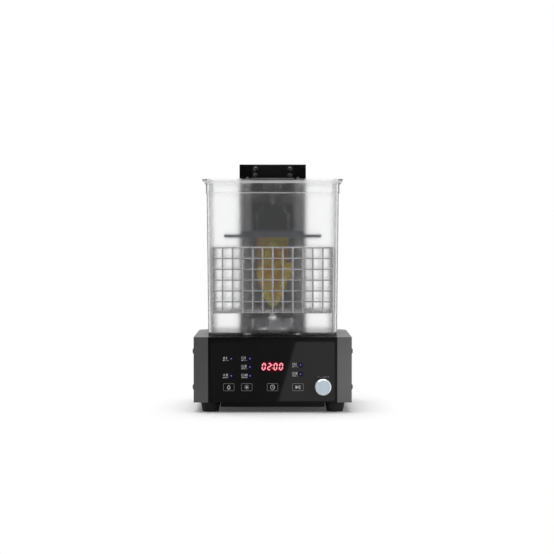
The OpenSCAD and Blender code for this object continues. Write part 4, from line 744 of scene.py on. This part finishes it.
def makeWelds():
    look = {"radius": 0.00145, "stretch": Vector((1.1, 0.8, 0.8)), "cells": 12, "pitch": 0.01446,
            "inset": 0.0012, "topInset": 0.0011}
    low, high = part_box("basket_front")
    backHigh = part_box("basket_back")[1]
    bm = bmesh.new()
    for y in (low.y + look["inset"], backHigh.y - look["inset"]):
        for k in range(1, look["cells"]):
            x = (k - look["cells"] / 2) * look["pitch"]
            for z in (low.z + look["inset"], high.z - look["topInset"]):
                made = bmesh.ops.create_icosphere(bm, subdivisions=2, radius=look["radius"])
                for vert in made["verts"]:
                    vert.co = vert.co * look["stretch"] + Vector((x, y, z))
    mesh = bpy.data.meshes.new("basket_welds")
    bm.to_mesh(mesh)
    bm.free()
    piece = bpy.data.objects.new("basket_welds", mesh)
    bpy.context.scene.collection.objects.link(piece)
    mesh.materials.append(basketWire)
    mesh.shade_smooth()
    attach(piece, "basket")


makeWelds()


# Fine white beads round the tank: painted highlights where the moulding catches the light

def beadOutline(centreY, halfX, halfY, corner, steps=10):
    return [(x, centreY + y) for x, y in roundedRect(0, 0, 2 * halfX, 2 * halfY, corner, steps)]


def makeTankHighlightBeads():
    look = {"beads": ((0.0044, 0.0040, 0.0031), (0.0202, 0.0013, 0.0009)),  # drop, height, how far out
            "thick": 0.0004, "corner": 0.015, "seat": 0.00005,
            "rimOut": 0.003,  # how far the rim stands out from the wall
            "wider": 0.0165}  # how much further the side walls are from the middle than the front
    low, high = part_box("wash_tank")
    centreY = (low.y + high.y) / 2
    halfY = (high.y - low.y) / 2 - look["rimOut"]
    halfX = halfY + look["wider"]
    bm = bmesh.new()
    for drop, tall, out in look["beads"]:
        z = high.z - drop
        rows = []
        for push in (look["seat"], look["seat"] + look["thick"]):
            outline = beadOutline(centreY, halfX + out + push, halfY + out + push, look["corner"])
            for level in (z - tall / 2, z + tall / 2):
                rows.append([bm.verts.new((x, y, level)) for x, y in outline])
        inLow, inHigh, outLow, outHigh = rows
        count = len(inLow)
        for i in range(count):
            j = (i + 1) % count
            for first, second in ((inLow, inHigh), (outHigh, outLow), (outLow, inLow), (inHigh, outHigh)):
                bm.faces.new((first[i], first[j], second[j], second[i]))
    # near-white colour with weak reflection: the beads' brightness is painted highlight
    material = startMaterial("paintedHighlightBead", {
        "Base Color": (0.97, 0.97, 0.97, 1), "Roughness": 0.22, "IOR": 1.08,
        "Transmission Weight": 0.72, "Specular IOR Level": 0.5})[0]
    finishShape(bm, "tank_highlight_beads", material, "tank")


makeTankHighlightBeads()


# Stage: floor, world, lamps, cards and camera

def stagePlane(name, corners, material):
    mesh = bpy.data.meshes.new(name)
    mesh.from_pydata(corners, [], [tuple(range(len(corners)))])
    plane = bpy.data.objects.new(name, mesh)
    bpy.context.scene.collection.objects.link(plane)
    mesh.materials.append(material)
    return plane


def seenMask(tree):  # 1 for rays that show the stage, 0 for rays that light the object by it
    path = addNode(tree, "ShaderNodeLightPath")
    first = mathNode(tree, "MAXIMUM", path.outputs["Is Camera Ray"], path.outputs["Is Glossy Ray"])
    return mathNode(tree, "MAXIMUM", first, path.outputs["Is Transmission Ray"])


def makeFloor():  # paper sweep: keeps its shadow near the object; further out, painted white light covers the shadow
    look = {"half": 30.0, "seen": 1.0, "bounced": 0.80, "lift": 0.05,
            "fade": 0.07,  # how far beside the base painted white light fully covers the shadow
            "frontShare": 0.3}  # below 1, it turns later to the front and rear
    material = bpy.data.materials.new("paleFloor")
    material.use_nodes = True
    tree = material.node_tree
    tree.nodes.clear()
    shown = seenMask(tree)
    place = addNode(tree, "ShaderNodeTexCoord")
    left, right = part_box("side_cheek_left")[0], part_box("side_cheek_right")[1]
    halfBase = ((right.x - left.x) / 2, (right.y - left.y) / 2, 0)
    outside = place.outputs["Object"]  # how far a point of the floor lies outside the base
    for operation, operand in (("ABSOLUTE", (0, 0, 0)), ("SUBTRACT", halfBase), ("MAXIMUM", (0, 0, 0)),
                               ("MULTIPLY", (1, look["frontShare"], 1))):
        step = addNode(tree, "ShaderNodeVectorMath", operation=operation)
        join(tree, outside, step.inputs[0])
        step.inputs[1].default_value = operand
        outside = step.outputs["Vector"]
    reach = addNode(tree, "ShaderNodeVectorMath", operation="LENGTH")
    join(tree, outside, reach.inputs[0])
    away = rangeNode(tree, reach.outputs["Value"], 0.0, look["fade"], 0.0, 1.0)
    diffuse = addNode(tree, "ShaderNodeBsdfDiffuse")
    tone = mixColours(tree, shown, (look["bounced"],) * 3, (look["seen"],) * 3)
    join(tree, tone, diffuse.inputs["Color"])
    glow = addNode(tree, "ShaderNodeEmission", {"Color": (1, 1, 1, 1)})
    join(tree, mathNode(tree, "MULTIPLY", shown, look["lift"]), glow.inputs["Strength"])
    lifted = addNode(tree, "ShaderNodeAddShader")
    white = addNode(tree, "ShaderNodeEmission", {"Color": (1, 1, 1, 1), "Strength": 1.0})
    mixed = addNode(tree, "ShaderNodeMixShader")
    out = addNode(tree, "ShaderNodeOutputMaterial")
    join(tree, diffuse.outputs[0], lifted.inputs[0])
    join(tree, glow.outputs[0], lifted.inputs[1])
    # painted white light, mixed over the lit floor with the distance from the base
    join(tree, mathNode(tree, "MULTIPLY", away, shown), mixed.inputs[0])
    join(tree, lifted.outputs[0], mixed.inputs[1])
    join(tree, white.outputs[0], mixed.inputs[2])
    join(tree, mixed.outputs[0], out.inputs["Surface"])
    half = look["half"]
    stagePlane("floor", [(-half, -half, 0), (half, -half, 0), (half, half, 0), (-half, half, 0)], material)


def makeWorld():
    look = {"seen": 1.0, "light": 0.42}
    world = bpy.data.worlds.new("studio")
    bpy.context.scene.world = world
    world.use_nodes = True
    tree = world.node_tree
    shown = seenMask(tree)
    background = tree.nodes["Background"]
    background.inputs["Color"].default_value = (1, 1, 1, 1)
    join(tree, rangeNode(tree, shown, 0.0, 1.0, look["light"], look["seen"]), background.inputs["Strength"])


def areaLamp(name, place, target, size, power):
    data = bpy.data.lights.new(name, "AREA")
    data.shape = "RECTANGLE"
    data.size, data.size_y = size
    data.energy = power
    lamp = bpy.data.objects.new(name, data)
    bpy.context.scene.collection.objects.link(lamp)
    lamp.location = place
    lamp.rotation_mode = "QUATERNION"
    lamp.rotation_quaternion = (Vector(target) - Vector(place)).to_track_quat("-Z", "Y")


def makeLamps():
    look = {  # place, where it points, size and watts
        "overheadSoftbox": ((-0.25, 0.3, 2.4), (0, 0, 0.15), (2.6, 2.2), 40),
        "rearLeftSoftbox": ((-1.9, 1.3, 1.3), (0, 0, 0.15), (1.2, 1.6), 6),
        "frontRightSoftbox": ((0.42, -0.50, 0.20), (0.09, -0.11, 0.05), (0.3, 0.3), 0.6)}
    for name, (place, target, size, power) in look.items():
        areaLamp(name, place, target, size, power)


def emissionMaterial(name, level):
    material = bpy.data.materials.new(name)
    material.use_nodes = True
    tree = material.node_tree
    tree.nodes.clear()
    glow = addNode(tree, "ShaderNodeEmission", {"Color": (1, 1, 1, 1), "Strength": level})
    out = addNode(tree, "ShaderNodeOutputMaterial")
    join(tree, glow.outputs[0], out.inputs["Surface"])
    return material


def stageCard(name, corners, level):  # a studio flag that only reflections see
    card = stagePlane(name, corners, emissionMaterial(name, level))
    card.visible_camera = False
    card.visible_diffuse = False
    card.visible_transmission = False
    card.visible_volume_scatter = False
    card.visible_shadow = False


def makeCards():  # the low pair leaves the slanting boundary on the panel glass
    look = {"y": -0.26, "bottom": 0.0005, "top": 0.098, "wide": 0.5, "edge": (0.0079, 0.0365),
            "dark": 0.16, "pale": 1.35, "farY": -3.4, "farHalf": 4.0, "farTop": 3.2, "far": 0.10}
    y, bottom, top, wide = look["y"], look["bottom"], look["top"], look["wide"]
    low, high = look["edge"]
    stageCard("lowDarkCard", [(-wide, y, bottom), (low, y, bottom), (high, y, top), (-wide, y, top)],
              look["dark"])
    stageCard("lowPaleCard", [(low, y, bottom), (wide, y, bottom), (wide, y, top), (high, y, top)],
              look["pale"])
    half, far = look["farHalf"], look["farY"]
    stageCard("farDarkCard", [(-half, far, 0), (half, far, 0), (half, far, look["farTop"]),
                              (-half, far, look["farTop"])], look["far"])


def makeCamera():
    look = {"distance": 2.667, "height": 0.2513, "frontY": -0.112, "sensor": 36,
            "pixels": 554, "focal": 1878.0, "horizonUp": 41.0, "centreLeft": 4.3}  # in pixels
    data = bpy.data.cameras.new("photoCamera")
    data.sensor_width = look["sensor"]
    data.lens = look["sensor"] * look["focal"] / look["pixels"]
    camera = bpy.data.objects.new("photoCamera", data)
    bpy.context.scene.collection.objects.link(camera)
    camera.location = (0, look["frontY"] - look["distance"], look["height"])
    pitch = math.atan(look["horizonUp"] / look["focal"])
    turn = math.atan(look["centreLeft"] / look["focal"])
    camera.rotation_euler = (math.pi / 2 - pitch, 0, -turn)
    bpy.context.scene.camera = camera


makeFloor()
makeWorld()
makeLamps()
makeCards()
makeCamera()
bpy.context.scene.view_settings.view_transform = "Standard"
print("stage 5: stage and camera made")
